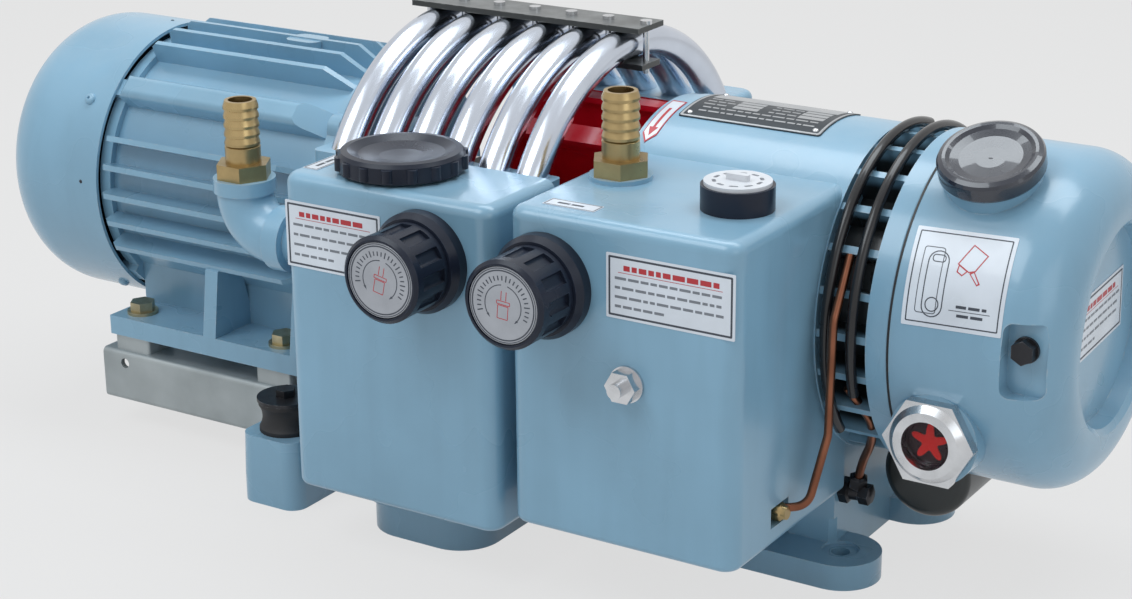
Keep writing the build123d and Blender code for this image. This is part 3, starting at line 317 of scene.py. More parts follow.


def enamel(name, base, wear, dust, rough=0.27, coat=0.35, lumps=0.22, under=BARE_IRON, shaded_within=None):
    """Gloss enamel over iron with rubbed edges, dust and faint runs; near black nearer the shaft than
    shaded_within, as painted shade with some oil film.
    """
    material, web, shader = begin(name)
    skin = effect(web, "Cast Skin")
    shown = web.mix(skin["Tone"], scaled(base, 0.86), scaled(base, 1.10))
    shown = web.mix(effect(web, "Grime Runs", Amount=0.20)["Mask"], shown, scaled(base, 0.55))
    shown = web.mix(effect(web, "Settled Dust", Amount=dust)["Mask"], shown, PAINT_DUST)
    shown = web.mix(effect(web, "Edge Wear And Highlight", Amount=wear)["Mask"], shown, under)
    # Painted shade with some oil film: near black within this distance of the shaft, fading outwards
    if shaded_within:
        across = web.add("ShaderNodeVectorMath", {"operation": "MULTIPLY_ADD"}, _0=web.place(), _1=(0, 1, 1),
                         _2=(0, 0, -SHAFT_Z)).outputs[0]
        away = web.add("ShaderNodeVectorMath", {"operation": "LENGTH"}, _0=across).outputs["Value"]
        shown = web.mix(web.between(away, shaded_within, shaded_within + SHADE_AND_OIL_FADE), DARK_SHADE_AND_OIL, shown)
    roughness = web.between(skin["Tone"], 0.0, 1.0, rough - 0.05, rough + 0.08)
    web.feed(shader, Base_Color=shown, Roughness=roughness, Coat_Weight=coat, Coat_Roughness=0.12,
             Normal=web.bump(skin["Height"], lumps, 0.35 * MM))
    return material


def metal(name, base, rough, stretch, tone=0.8, lines=0.25, blotch=30.0, metallic=1.0, worn=None):
    """Bare or plated metal with tool lines and tarnish; worn is the colour of its rubbed edges."""
    material, web, shader = begin(name)
    marks = effect(web, "Tool Lines", Stretch=stretch, Blotch=blotch)
    shown = web.mix(marks["Tone"], scaled(base, tone), base)
    if worn:
        shown = web.mix(effect(web, "Edge Wear And Highlight", Amount=0.8, Width=0.8 * MM)["Mask"], shown, worn)
    roughness = web.between(marks["Tone"], 0.0, 1.0, rough * 1.35, rough * 0.85)
    web.feed(shader, Base_Color=shown, Roughness=roughness, Metallic=metallic,
             Normal=web.bump(marks["Height"], lines, 0.06 * MM))
    return material


def moulded(name, base, rough, grain=0.15, dust=0.15, coat=0.0, edge=None, shine=0.5):
    """Moulded plastic, rubber or ceramic with a fine grain; edge is the colour of its edges, partly rubbed wear
    and partly a painted highlight.
    """
    material, web, shader = begin(name)
    skin = effect(web, "Cast Skin", Lumps=400.0, Peel=2600.0, Tone_Scale=25.0)
    shown = web.mix(skin["Tone"], scaled(base, 0.8), base)
    shown = web.mix(effect(web, "Settled Dust", Amount=dust)["Mask"], shown, PLASTIC_DUST)
    # Edges lightened towards a bluish colour: partly rubbed wear, partly a painted highlight
    if edge:
        shown = web.mix(effect(web, "Edge Wear And Highlight", Amount=0.7, Width=0.7 * MM)["Mask"], shown, edge)
    roughness = web.between(skin["Tone"], 0.0, 1.0, rough * 1.2, rough * 0.85)
    web.feed(shader, Base_Color=shown, Roughness=roughness, Coat_Weight=coat, Specular_IOR_Level=shine,
             Normal=web.bump(skin["Height"], grain, 0.12 * MM))
    return material


def clear_glass(name):
    """Sight glass with a faint ripple."""
    material, web, shader = begin(name)
    roughness = web.between(web.noise(60.0), 0.3, 0.8, 0.02, 0.07)
    web.feed(shader, Base_Color=(0.97, 0.92, 0.93), Roughness=roughness, Transmission_Weight=1.0,
             Specular_IOR_Level=0.25, IOR=1.25, Normal=web.bump(web.noise(90.0), 0.05, 0.2 * MM))
    return material


def make_finishes(own):
    """All the finishes, by material slot or by their own name."""
    black = (0.010, 0.010, 0.012)
    recipes = {
        "blue_grey_paint": (enamel, dict(base=own.paint, wear=own.wear, dust=own.dust)),
        # The lantern cover gets painted shade, with some oil film, in the gaps between its ribs
        "lantern_paint": (enamel, dict(base=own.paint, wear=0.6, dust=own.dust, shaded_within=97 * MM)),
        "red_paint": (enamel, dict(base=own.fan, wear=0.2, dust=0.1, rough=0.24, coat=0.4, lumps=0.12,
                                   under=(0.30, 0.02, 0.03))),
        "black_steel": (enamel, dict(base=(0.020, 0.024, 0.024), wear=0.5, dust=0.25, rough=0.34, coat=0.2,
                                     lumps=0.15, under=(0.30, 0.31, 0.30))),
        "bare_rail": (metal, dict(base=(0.43, 0.47, 0.48), rough=0.46, stretch=(30, 900, 900), tone=0.72,
                                  lines=0.3, blotch=18.0, metallic=0.55)),
        "zinc_hardware": (metal, dict(base=(0.52, 0.46, 0.30), rough=0.34, stretch=(500, 500, 500), tone=0.70,
                                      lines=0.2, blotch=90.0)),
        "bright_hardware": (metal, dict(base=(0.70, 0.71, 0.73), rough=0.22, stretch=(700, 700, 700),
                                        tone=0.78, lines=0.15, blotch=60.0)),
        "machined_steel": (metal, dict(base=(0.55, 0.56, 0.58), rough=0.30, stretch=(1600, 60, 60),
                                       tone=0.85)),
        "dark_steel": (metal, dict(base=(0.045, 0.045, 0.05), rough=0.35, stretch=(400, 400, 400), tone=0.7,
                                   lines=0.2, blotch=60.0, metallic=0.8, worn=(0.25, 0.25, 0.26))),
        "brass": (metal, dict(base=own.brass, rough=0.30, stretch=(60, 60, 2200), tone=0.72, lines=0.3,
                              blotch=55.0)),
        "copper": (metal, dict(base=own.copper, rough=0.34, stretch=(200, 200, 200), tone=0.45, lines=0.2)),
        "chrome_tube": (metal, dict(base=own.chrome, rough=0.17, stretch=(60, 60, 60), tone=0.88, lines=0.08,
                                    blotch=22.0)),
        "rubber_black": (moulded, dict(base=black, rough=0.62, grain=0.25, dust=0.3)),
        "black_hose": (moulded, dict(base=black, rough=0.26, grain=0.1, dust=0.03, coat=0.4, shine=0.3)),
        # The bluish edge colours of the black plastics are partly rubbed wear, partly a painted highlight
        "black_plastic": (moulded, dict(base=own.plastic, rough=0.30, grain=0.10, dust=0.04,
                                        edge=(0.06, 0.08, 0.12), shine=0.28)),
        "cap_plastic": (moulded, dict(base=own.plastic, rough=0.26, grain=0.06, dust=0.04, coat=0.8,
                                      edge=(0.08, 0.10, 0.14))),
        "white_plastic": (moulded, dict(base=(0.72, 0.74, 0.78), rough=0.35, grain=0.1, dust=0.1)),
        "vane_carbon": (moulded, dict(base=(0.03, 0.03, 0.03), rough=0.5)),
        "ceramic_white": (moulded, dict(base=(0.62, 0.60, 0.54), rough=0.8, grain=0.5)),
        "sight_glass": (clear_glass, {}),
        "label_foil": (moulded, dict(base=own.label, rough=0.24, grain=0.06, dust=0.12, coat=0.2)),
        "plate_field": (metal, dict(base=(0.045, 0.055, 0.065), rough=0.34, stretch=(900, 40, 40), lines=0.15,
                                    metallic=0.6)),
        "plate_bright": (metal, dict(base=(0.56, 0.58, 0.60), rough=0.30, stretch=(900, 60, 60), lines=0.15,
                                     blotch=60.0)),
        "knob_field": (metal, dict(base=(0.42, 0.44, 0.48), rough=0.40, stretch=(700, 40, 700), tone=0.88,
                                   lines=0.2, blotch=60.0, metallic=0.7)),
        "star_red": (moulded, dict(base=(0.72, 0.010, 0.008), rough=0.5, grain=0.05, dust=0.0, shine=0.1)),
        "well_dark": (moulded, dict(base=(0.020, 0.001, 0.008), rough=0.6, grain=0.1, dust=0.0, shine=0.1)),
    }
    for name, base, rough in (("label_ink", (0.05, 0.06, 0.08), 0.4), ("label_red", (0.50, 0.03, 0.04), 0.35),
                              ("label_grey", (0.20, 0.22, 0.25), 0.4)):
        recipes[name] = moulded, dict(base=base, rough=rough, grain=0.05, dust=0.0)
    return {name: maker(name, **settings) for name, (maker, settings) in recipes.items()}


FINISH = {}
# Pieces whose finish differs from that of their material slot
OWN_FINISH = {"lantern_cover": "lantern_paint", "buffer_plates": "dark_steel",
              "oil_filler_cap": "cap_plastic"}


# ---------------- mesh tools
def add_object(name, data):
    """Object of this data, put into the scene."""
    item = bpy.data.objects.new(name, data)
    bpy.context.scene.collection.objects.link(item)
    return item


def facing(point, direction):
    """Matrix that stands local +Z on the point along the direction, with local +Y up or else to the back."""
    z = Vector(direction).normalized()
    x = (UP if abs(z.z) < 0.9 else BACK).cross(z).normalized()
    turn = Matrix((x, z.cross(x), z)).transposed()
    return Matrix.Translation(Vector(point)) @ turn.to_4x4()


def lathe(bm, profile, place, steps):
    """Turned solid from (radius, height) pairs; a third value gives that ring so many flat sides."""
    rings = []
    for entry in profile:
        radius, height = entry[:2]
        if radius < 1e-7:
            rings.append([bm.verts.new(place @ Vector((0, 0, height)))])
            continue
        row = []
        for i in range(steps):
            angle = math.tau * i / steps
            reach = radius
            if len(entry) > 2:
                half = math.pi / entry[2]
                reach = radius * math.cos(half) / math.cos((angle % (2 * half)) - half)
            corner = Vector((reach * math.cos(angle), reach * math.sin(angle), height))
            row.append(bm.verts.new(place @ corner))
        rings.append(row)
    for low, high in zip(rings, rings[1:]):
        for i in range(steps):
            j = (i + 1) % steps
            corners = [low[i % len(low)], low[j % len(low)], high[j % len(high)], high[i % len(high)]]
            bm.faces.new(list(dict.fromkeys(corners)))


def in_mm(profile):
    """Profile given in millimetres; the number of sides of a ring stays."""
    return [(entry[0] * MM, entry[1] * MM, *entry[2:]) for entry in profile]


def raise_form(bm, outline, inner, low, high):
    """One flat form between two heights: a filled outline, or the band between two like outlines."""
    def loop(points, height):
        return [bm.verts.new((u, v, height)) for u, v in points]

    def wall(a, b):
        for i in range(len(a)):
            j = (i + 1) % len(a)
            bm.faces.new((a[i], a[j], b[j], b[i]))

    bottom, top = loop(outline, low), loop(outline, high)
    wall(bottom, top)
    if inner is None:
        bm.faces.new(top)
        bm.faces.new(list(reversed(bottom)))
        return
    inner_bottom, inner_top = loop(inner, low), loop(inner, high)
    wall(inner_top, inner_bottom)
    wall(top, inner_top)
    wall(inner_bottom, bottom)


def rounded(u, v, width, height, corner, steps=5):
    """Rounded rectangle about (u, v)."""
    points = []
    for quarter, (su, sv) in enumerate(((1, 1), (-1, 1), (-1, -1), (1, -1))):
        for i in range(steps + 1):
            angle = math.pi / 2 * (quarter + i / steps)
            points.append((u + su * (width / 2 - corner) + corner * math.cos(angle),
                           v + sv * (height / 2 - corner) + corner * math.sin(angle)))
    return points


def circle(u, v, radius, steps=48):
    return [(u + radius * math.cos(math.tau * i / steps), v + radius * math.sin(math.tau * i / steps))
            for i in range(steps)]


def arc_arrow(radius, width, start, end, head, steps=18):
    """Band along an arc that ends in an arrow head."""
    def at(r, angle):
        return (r * math.cos(angle), r * math.sin(angle))

    turn = math.copysign(head / radius, end - start)
    angles = [start + (end - turn - start) * i / steps for i in range(steps + 1)]
    outer = [at(radius + width / 2, a) for a in angles]
    inner = [at(radius - width / 2, a) for a in reversed(angles)]
    tip = [at(radius + width * 1.4, angles[-1]), at(radius, end), at(radius - width * 1.4, angles[-1])]
    return outer + tip + inner


def relief(forms, low, high, to_place, cut=None):
    """Mesh of flat forms raised from low to high, cut across every so often and bent to its place."""
    bm = bmesh.new()
    for form in forms:
        outline, inner = form if isinstance(form, tuple) else (form, None)
        raise_form(bm, outline, inner, low, high)
    if cut:
        reach = max(abs(vert.co.y) for vert in bm.verts)
        count = int(reach / cut)
        for i in range(-count, count + 1):
            bmesh.ops.bisect_plane(bm, geom=bm.verts[:] + bm.edges[:] + bm.faces[:],
                                   plane_co=(0, i * cut, 0), plane_no=(0, 1, 0))
    for vert in bm.verts:
        vert.co = to_place(vert.co)
    return bm


def on_drum(x, before_top, radius, turn=0.0):
    """Bends a flat form on to a drum about a point at x millimetres, so many degrees in front of the top."""
    spin = Matrix.Rotation(math.radians(turn), 3, "Z")

    def to_place(co):
        flat = spin @ co
        around = math.radians(before_top) - flat.y / radius
        reach = radius + flat.z
        return Vector((x * MM + flat.x, -reach * math.sin(around), SHAFT_Z + reach * math.cos(around)))
    return to_place


def on_face(place):
    return lambda co: place @ co


def settle(name, mesh, slot, body="frame", sharp=SHARP):
    """Turns a finished mesh into a named piece that rides on its body."""
    piece = add_object(name, mesh)
    mesh.shade_smooth()
    mesh.set_sharp_from_angle(angle=math.radians(sharp))
    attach(piece, body)
    return piece


def finish_piece(name, bm, slot, finish, body="frame", sharp=SHARP):
    """Closes the mesh, gives it its finish and settles it on its body."""
    bmesh.ops.remove_doubles(bm, verts=bm.verts, dist=1e-7)
    bmesh.ops.recalc_face_normals(bm, faces=bm.faces)
    mesh = bpy.data.meshes.new(name)
    bm.to_mesh(mesh)
    bm.free()
    mesh.materials.append(FINISH[finish])
    return settle(name, mesh, slot, body, sharp)


def turned_piece(name, profile, place, slot, finish, steps=24, body="frame"):
    """Piece turned from one profile in millimetres."""
    bm = bmesh.new()
    lathe(bm, in_mm(profile), place, steps)
    return finish_piece(name, bm, slot, finish, body)


def flat_piece(name, forms, low, high, to_place, slot, finish, cut=None, body="frame"):
    """Piece of flat forms raised from low to high."""
    return finish_piece(name, relief(forms, low, high, to_place, cut), slot, finish, body)


def evaluated(item):
    """Mesh that an object comes to with its modifiers or its curve's bevel."""
    return bpy.data.meshes.new_from_object(item.evaluated_get(bpy.context.evaluated_depsgraph_get()))


def tube_along(points, radius):
    """Mesh tube along a smooth line through the points."""
    curve = bpy.data.curves.new("line", "CURVE")
    curve.dimensions = "3D"
    spline = curve.splines.new("NURBS")
    spline.points.add(len(points) - 1)
    for target, source in zip(spline.points, points):
        target.co = (*source, 1)
    spline.order_u = 3
    spline.use_endpoint_u = True
    curve.resolution_u = 10
    curve.bevel_depth = radius
    curve.bevel_resolution = 5
    curve.use_fill_caps = True
    holder = add_object("line", curve)
    mesh = evaluated(holder)
    bpy.data.objects.remove(holder)
    bm = bmesh.new()
    bm.from_mesh(mesh)
    bpy.data.meshes.remove(mesh)
    return bm


# ---------------- repeated fasteners
HEADS = {
    # radius 1, height 1; a third value is the number of sides of that ring
    "hexagon": [(0, 0), (0.98, 0), (0.98, 0.08), (0.94, 0.10), (1.0, 0.12, 6), (1.0, 0.86, 6), (0.86, 1.0),
                (0, 1.0)],
    "pan": [(0, 0), (1.0, 0), (1.0, 0.30), (0.90, 0.68), (0.66, 0.92), (0.44, 1.0), (0.36, 1.0, 4),
            (0.33, 0.94, 4), (0.20, 0.45, 4), (0, 0.40)],
    "rivet": [(0, 0), (1.0, 0), (0.97, 0.30), (0.80, 0.66), (0.52, 0.90), (0.24, 0.99), (0, 1.0)],
}


def fastener_tree():
    """Puts a head on every point, turned to the point's facing and with a seeded spin."""
    name = "Fasteners on Points"
    tree = bpy.data.node_groups.get(name)
    if tree:
        return tree
    tree = bpy.data.node_groups.new(name, "GeometryNodeTree")
    for label, kind, value in (("Geometry", "Geometry", None), ("Head", "Object", None),
                               ("Diameter", "Float", 8 * MM), ("Height", "Float", 4 * MM),
                               ("Seed", "Int", 1), ("Finish", "Material", None)):
        socket = tree.interface.new_socket(label, in_out="INPUT", socket_type="NodeSocket" + kind)
        if value is not None:
            socket.default_value = value
    tree.interface.new_socket("Geometry", in_out="OUTPUT", socket_type="NodeSocketGeometry")
    web = Web(tree)
    given = tree.nodes.new("NodeGroupInput").outputs
    points = web.add("GeometryNodeMeshToPoints", None, Mesh=given["Geometry"]).outputs[0]
    look = web.add("GeometryNodeInputNamedAttribute", {"data_type": "FLOAT_VECTOR"}, Name="facing").outputs[0]
    aim = web.add("FunctionNodeAlignRotationToVector", {"axis": "Z"}, Vector=look).outputs[0]
    spin = web.add("FunctionNodeRandomValue", {"data_type": "FLOAT"}, _2=0.0, _3=math.tau, Seed=given["Seed"])
    turn = web.add("ShaderNodeCombineXYZ", None, Z=spin.outputs[1]).outputs[0]
    euler = web.add("FunctionNodeEulerToRotation", None, Euler=turn).outputs[0]
    rolled = web.add("FunctionNodeRotateRotation", {"rotation_space": "LOCAL"}, Rotation=aim, _1=euler)
    radius = web.math("MULTIPLY", given["Diameter"], 0.5)
    size = web.add("ShaderNodeCombineXYZ", None, X=radius, Y=radius, Z=given["Height"]).outputs[0]
    head = web.add("GeometryNodeObjectInfo", {"transform_space": "ORIGINAL"}, Object=given["Head"])
    placed = web.add("GeometryNodeInstanceOnPoints", None, Points=points, Instance=head.outputs["Geometry"],
                     Rotation=rolled.outputs[0], Scale=size).outputs[0]
    real = web.add("GeometryNodeRealizeInstances", None, Geometry=placed).outputs[0]
    coated = web.add("GeometryNodeSetMaterial", None, Geometry=real, Material=given["Finish"]).outputs[0]
    web.feed(tree.nodes.new("NodeGroupOutput"), _0=coated)
    return tree


def fasten(name, kind, points, diameter, height, slot, seed):
    """Heads of one kind at (place, direction) pairs on the frame, as one plain mesh."""
    bm = bmesh.new()
    lathe(bm, HEADS[kind], Matrix.Identity(4), 24)
    bmesh.ops.recalc_face_normals(bm, faces=bm.faces)
    head_mesh = bpy.data.meshes.new("head")
    bm.to_mesh(head_mesh)
    bm.free()
    head = add_object("head", head_mesh)
    cloud = bpy.data.meshes.new("cloud")
    cloud.from_pydata([tuple(Vector(p) - Vector(d) * SINK) for p, d in points], [], [])
    looks = cloud.attributes.new("facing", "FLOAT_VECTOR", "POINT")
    for item, (_, direction) in zip(looks.data, points):
        item.vector = direction
    holder = add_object("cloud", cloud)
    modifier = holder.modifiers.new("fasteners", "NODES")
    modifier.node_group = fastener_tree()
    values = {"Head": head, "Diameter": diameter, "Height": height, "Seed": seed, "Finish": FINISH[slot]}
    for item in modifier.node_group.interface.items_tree:
        if item.in_out == "INPUT" and item.name in values:
            modifier[item.identifier] = values[item.name]
    made = evaluated(holder)
    for item in (head, holder):
        bpy.data.objects.remove(item)
    if not made.polygons:
        raise RuntimeError(f"{name} came out empty")
    return settle(name, made, slot)


def round_shaft(x, radius, angles):
    """Points on a circle about the shaft, at angles from the top towards the back."""
    return [Vector((x, radius * math.sin(angle), SHAFT_Z + radius * math.cos(angle)))
            for angle in map(math.radians, angles)]


def outward(spots):
    """Each spot with its direction away from the shaft."""
    return [(spot, (spot - Vector((spot.x, 0, SHAFT_Z))).normalized()) for spot in spots]


# ---------------- plates and labels
def word_row(left, v, wide, tall, seed):
    """Row of short bars of uneven length, as blank as a ruled line."""
    pick = random.Random(seed)
    bars, at = [], left
    while at < left + wide - 3 * MM:
        run = min(pick.uniform(3.0, 9.0) * MM, left + wide - at)
        bars.append(rounded(at + run / 2, v, run, tall, 0.2 * MM))
        at += run + 1.4 * MM
    return bars


def outlined(u, v, width, height, corner, line):
    """Thin line round a rounded rectangle, in millimetres."""
    inner_width, inner_height = width - 2 * line, height - 2 * line
    return (rounded(u * MM, v * MM, width * MM, height * MM, corner * MM),
            rounded(u * MM, v * MM, inner_width * MM, inner_height * MM, (corner - line * 0.8) * MM))


def ruled(u, v, width, height):
    """Plain bar, in millimetres."""
    return rounded(u * MM, v * MM, width * MM, height * MM, 0.1 * MM)


def name_plate(plates, hardware, drum):
    """Riveted plate with a border, an empty field and blank rows, the first of them in two columns."""
    place = on_drum(NAME_PLATE_X, 0.0, drum)
    span, width, margin = plates.name_length, plates.name_width, 6 * MM
    half = span / 2 - margin
    flat_piece("name_plate", [rounded(0, 0, span, width, 2 * MM)], -SINK, plates.plate, place,
               "bright_hardware", "plate_field", STRIP)
    forms = [(rounded(0, 0, span - 1.5 * MM, width - 1.5 * MM, 2 * MM),
              rounded(0, 0, span - 5 * MM, width - 5 * MM, 1 * MM)),
             rounded(0, width * 0.26, 2 * half, width * 0.30, 1 * MM)]
    for i in range(plates.rows):
        v = width * 0.05 - i * width * 0.095
        if i >= SPLIT_ROWS:
            forms += word_row(-0.95 * half + 2 * MM, v, 1.9 * half - 3 * MM, TEXT, 10 * i)
            continue
        for k, left in enumerate((-half, 0.04 * half)):
            forms += word_row(left + 2 * MM, v, 0.5 * half - 3 * MM, TEXT, 10 * i + k)
            forms.append(rounded(left + 0.72 * half, v, 0.4 * half, 4.8 * MM, 0.4 * MM))
    flat_piece("name_plate_lines", forms, plates.plate - SINK, plates.plate + plates.ink, place,
               "bright_hardware", "plate_bright", STRIP)
    spots = [place(Vector((u * half, v * (width / 2 - margin), plates.plate)))
             for u in (-1, 1) for v in (-1, 1)]
    fasten("name_plate_rivets", "rivet", outward(spots), hardware.rivet, 1.5 * MM, "bright_hardware", seed=3)


def turning_arrow(drum):
    """Band with an arrow along the way that the shaft turns."""
    place = on_drum(ARROW_X, ARROW_TURN, drum)
    band = [(-5.5, 25), (5.5, 25), (5.5, -19), (0, -27), (-5.5, -19)]
    mark = [(-1.0, 12), (1.0, 12), (1.0, -12), (3.4, -12), (0, -21), (-3.4, -12), (-1.0, -12)]
    for name, form, grow, floor, top, finish in (
            ("turning_arrow_edge", band, 1.0, -1.3, 0.5, "label_red"),
            ("turning_arrow_field", band, 0.86, 0.3, 0.6, "label_foil"),
            ("turning_arrow_mark", mark, 1.0, 0.5, 0.7, "label_red")):
        flat = [(u * grow * MM, v * (1 + grow) / 2 * MM) for u, v in form]
        flat_piece(name, [flat], floor * MM, top * MM, place, "bright_hardware", finish, STRIP)


def form_label(name, place, width, height, plates, cut=None, picture=None):
    """Blank label, sized in millimetres: foil, border, and a picture or else rows of short bars."""
    width, height = width * MM, height * MM
    corner = 0.8 * MM
    flat_piece(name, [rounded(0, 0, width, height, corner)], -SINK, plates.foil, place,
               "white_plastic", "label_foil", cut)
    low, high = plates.foil - SINK, plates.foil + plates.ink
    if height < 20 * MM:
        inset, line = 1.2 * MM, 0.7 * MM
    elif cut:
        inset, line = 5 * MM, 0.8 * MM
    else:
        inset, line = 3.4 * MM, 1.3 * MM
    rim = (rounded(0, 0, width - inset, height - inset, corner),
           rounded(0, 0, width - inset - 2 * line, height - inset - 2 * line, corner / 2))
    flat_piece(name + "_border", [rim] + (picture or []), low, high, place, "black_plastic", "label_ink", cut)
    if picture:
        return
    inner = width - inset - 9 * MM
    head = (height - inset) / 2 - 7 * MM
    rule = head - 3.2 * MM
    bars = word_row(-inner * 0.42, head, inner * 0.86, 3.4 * MM, 4)
    bars.append(rounded(0, rule, inner * 0.94, 0.35 * MM, 0.1 * MM))
    flat_piece(name + "_head", bars, low, high, place, "red_paint", "label_red", cut)
    rows = []
    pitch = (head + (height - inset) / 2 - 5 * MM) / 4.4
    for i, part in enumerate((1.0, 0.96, 0.98, 0.5)):
        rows += word_row(-inner / 2, rule - pitch * (i + 0.62), inner * part, TEXT, i)
    flat_piece(name + "_rows", rows, low, high, place, "black_plastic", "label_grey", cut)


def oil_label(plates):
    """Label on the oil chamber: outline of an oil gauge and of a jug that pours."""
    place = on_drum(OIL_LABEL_X, OIL_LABEL_TURN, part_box("oil_chamber")[1].y, 2)
    gauge = [outlined(-14, -4, 14, 42, 6.8, 0.7), outlined(-18, -2, 14, 42, 2.0, 0.5),
             (circle(-14 * MM, -17 * MM, 4.6 * MM), circle(-14 * MM, -17 * MM, 3.9 * MM)),
             outlined(-14, 12, 9, 5, 2.2, 0.6), ruled(11, -19, 27, 0.4)]
    gauge += word_row(2 * MM, -16.4 * MM, 20 * MM, 1.8 * MM, 5)
    gauge += word_row(3 * MM, -21.8 * MM, 20 * MM, 1.8 * MM, 6)
    form_label("oil_label", place, 66, 63, plates, STRIP, gauge)
    jug = (([(-6, -7), (6, -7), (6, 5), (3, 8), (-6, 8)],
            [(-5.3, -6.3), (5.3, -6.3), (5.3, 4.7), (2.7, 7.3), (-5.3, 7.3)]),
           ([(5, 5), (13, 9), (12, 11), (3.5, 8)],
            [(5.6, 5.9), (11.9, 9.3), (11.5, 10.2), (4.6, 7.8)]),
           ([(-5, 8), (-3.4, 12), (1, 12), (2, 8)],
            [(-4.2, 8.2), (-2.9, 11.3), (0.5, 11.3), (1.2, 8.2)]))
    tilt = Matrix.Rotation(math.radians(150), 2) @ Matrix.Scale(1.05, 2)
    centre = Vector((8, 14))

    def tilted(loop):
        """The loop mirrored, tilted and moved; mirroring turns it round, so its order is turned back."""
        return [tuple((tilt @ Vector((-u, v)) + centre) * MM) for u, v in reversed(loop)]

    forms = [(tilted(outer), tilted(inner)) for outer, inner in jug]
    flat_piece("oil_label_jug", forms, plates.foil - SINK, plates.foil + plates.ink, place,
               "red_paint", "label_red", STRIP)


# ---------------- control knobs
def knob_disc(word, place):
    """Etched metal disc in the knob's face."""
    profile = [(0, -0.2), (25, -0.2), (25, 0.5), (24.6, 0.8), (0, 0.8)]
    turned_piece(f"{word}_knob_disc", profile, place, "bright_hardware", "knob_field", 72, f"{word}_knob")


def knob_marks(word, place, plates):
    """Rings, ticks and turning arrows on the disc, and a plain sign of a valve in its middle."""
    low, high = 0.75 * MM, 0.8 * MM + plates.ink
    rings = [(circle(0, 0, radius * MM, 72), circle(0, 0, (radius - line) * MM, 72))
             for radius, line in ((24.2, 0.6), (22.9, 0.9))]
    arrow_reach, tick_reach = 13.2 * MM, 17.6 * MM
    arrows = [arc_arrow(arrow_reach, 0.6 * MM, math.radians(start), math.radians(end), 3 * MM)
              for start, end in ((80, -48), (100, 228))]
    ticks = []
    for i in range(TICKS):
        turn = Matrix.Rotation(math.radians(202 - i * 9.6), 2)
        tick = rounded(0, 0, (3.0 if i % 4 else 4.2) * MM, 0.8 * MM, 0.2 * MM)
        ticks.append([tuple(turn @ (Vector(point) + Vector((tick_reach, 0)))) for point in tick])
    valve = [outlined(0, -4.5, 8, 9, 0.5, 0.45), outlined(0, 1.6, 10, 2.6, 0.5, 0.45),
             ruled(-1.8, 6.2, 0.5, 6), ruled(1.8, 6.2, 0.5, 6)]
    for part, forms, ink in (("marks", rings + arrows + ticks, "label_ink"), ("symbol", valve, "label_red")):
        flat_piece(f"{word}_knob_{part}", forms, low, high, on_face(place), "bright_hardware", ink,
                   body=f"{word}_knob")


# ---------------- stage
# Share of the floor's glow that the camera sees, and that mirrors and glass show
FLOOR_SEEN, FLOOR_MIRRORED = 0.86, 0.7


def make_floor(stage):
    """Plain floor that the camera sees paler than the light on it."""
    bm = bmesh.new()
    bmesh.ops.create_grid(bm, x_segments=1, y_segments=1, size=14.0)
    mesh = bpy.data.meshes.new("floor")
    bm.to_mesh(mesh)
    bm.free()
    floor = add_object("floor", mesh)
    finish, web, shader = begin("floor_finish")
    web.feed(shader, Base_Color=scaled(stage.floor, 0.90), Roughness=0.9)
    glow = web.add("ShaderNodeEmission", None, Color=tuple(stage.floor), Strength=1.0)
    rays = web.add("ShaderNodeLightPath").outputs
    mirrored = web.math("MAXIMUM", rays["Is Glossy Ray"], rays["Is Transmission Ray"])
    glowing = web.math("MAXIMUM", web.math("MULTIPLY", rays["Is Camera Ray"], FLOOR_SEEN),
                       web.math("MULTIPLY", mirrored, FLOOR_MIRRORED))
    both = web.add("ShaderNodeMixShader", None, Fac=glowing, _1=shader.outputs[0], _2=glow.outputs[0])
    web.feed(web.tree.nodes["Material Output"], Surface=both.outputs[0])
    mesh.materials.append(finish)


def make_sky(scene, stage):
    """Even light from all round, brighter where the camera sees it or a mirror shows it."""
    world = bpy.data.worlds.new("sky")
    world.use_nodes = True
    scene.world = world
    web = Web(world.node_tree)
    rays = web.add("ShaderNodeLightPath").outputs
    mirrored = web.math("MAXIMUM", rays["Is Glossy Ray"], rays["Is Transmission Ray"])
    seen = web.math("MAXIMUM", rays["Is Camera Ray"], mirrored)
    web.feed(world.node_tree.nodes["Background"], Color=tuple(stage.floor),
             Strength=web.between(seen, 0.0, 1.0, stage.sky, 1.0))


def make_lamps(stage):
    """Soft rectangular lamps, each one aimed at a point of the pump."""
    for name, spot, aim, width, height, power in (
            ("key", (-0.7, -1.5, 2.2), (0, 0, 0.2), 1.8, 1.2, stage.key),
            ("fill", (2.4, -1.2, 1.3), (0.1, 0, 0.2), 1.4, 1.4, stage.fill),
            ("top", (0.1, 0.5, 2.3), (0, 0, 0.3), 2.6, 0.9, stage.top)):
        lamp = bpy.data.lights.new(name, "AREA")
        lamp.shape = "RECTANGLE"
        lamp.size, lamp.size_y, lamp.energy = width, height, power
        lamp.color = stage.cool
        add_object(name, lamp).matrix_world = facing(spot, Vector(spot) - Vector(aim))


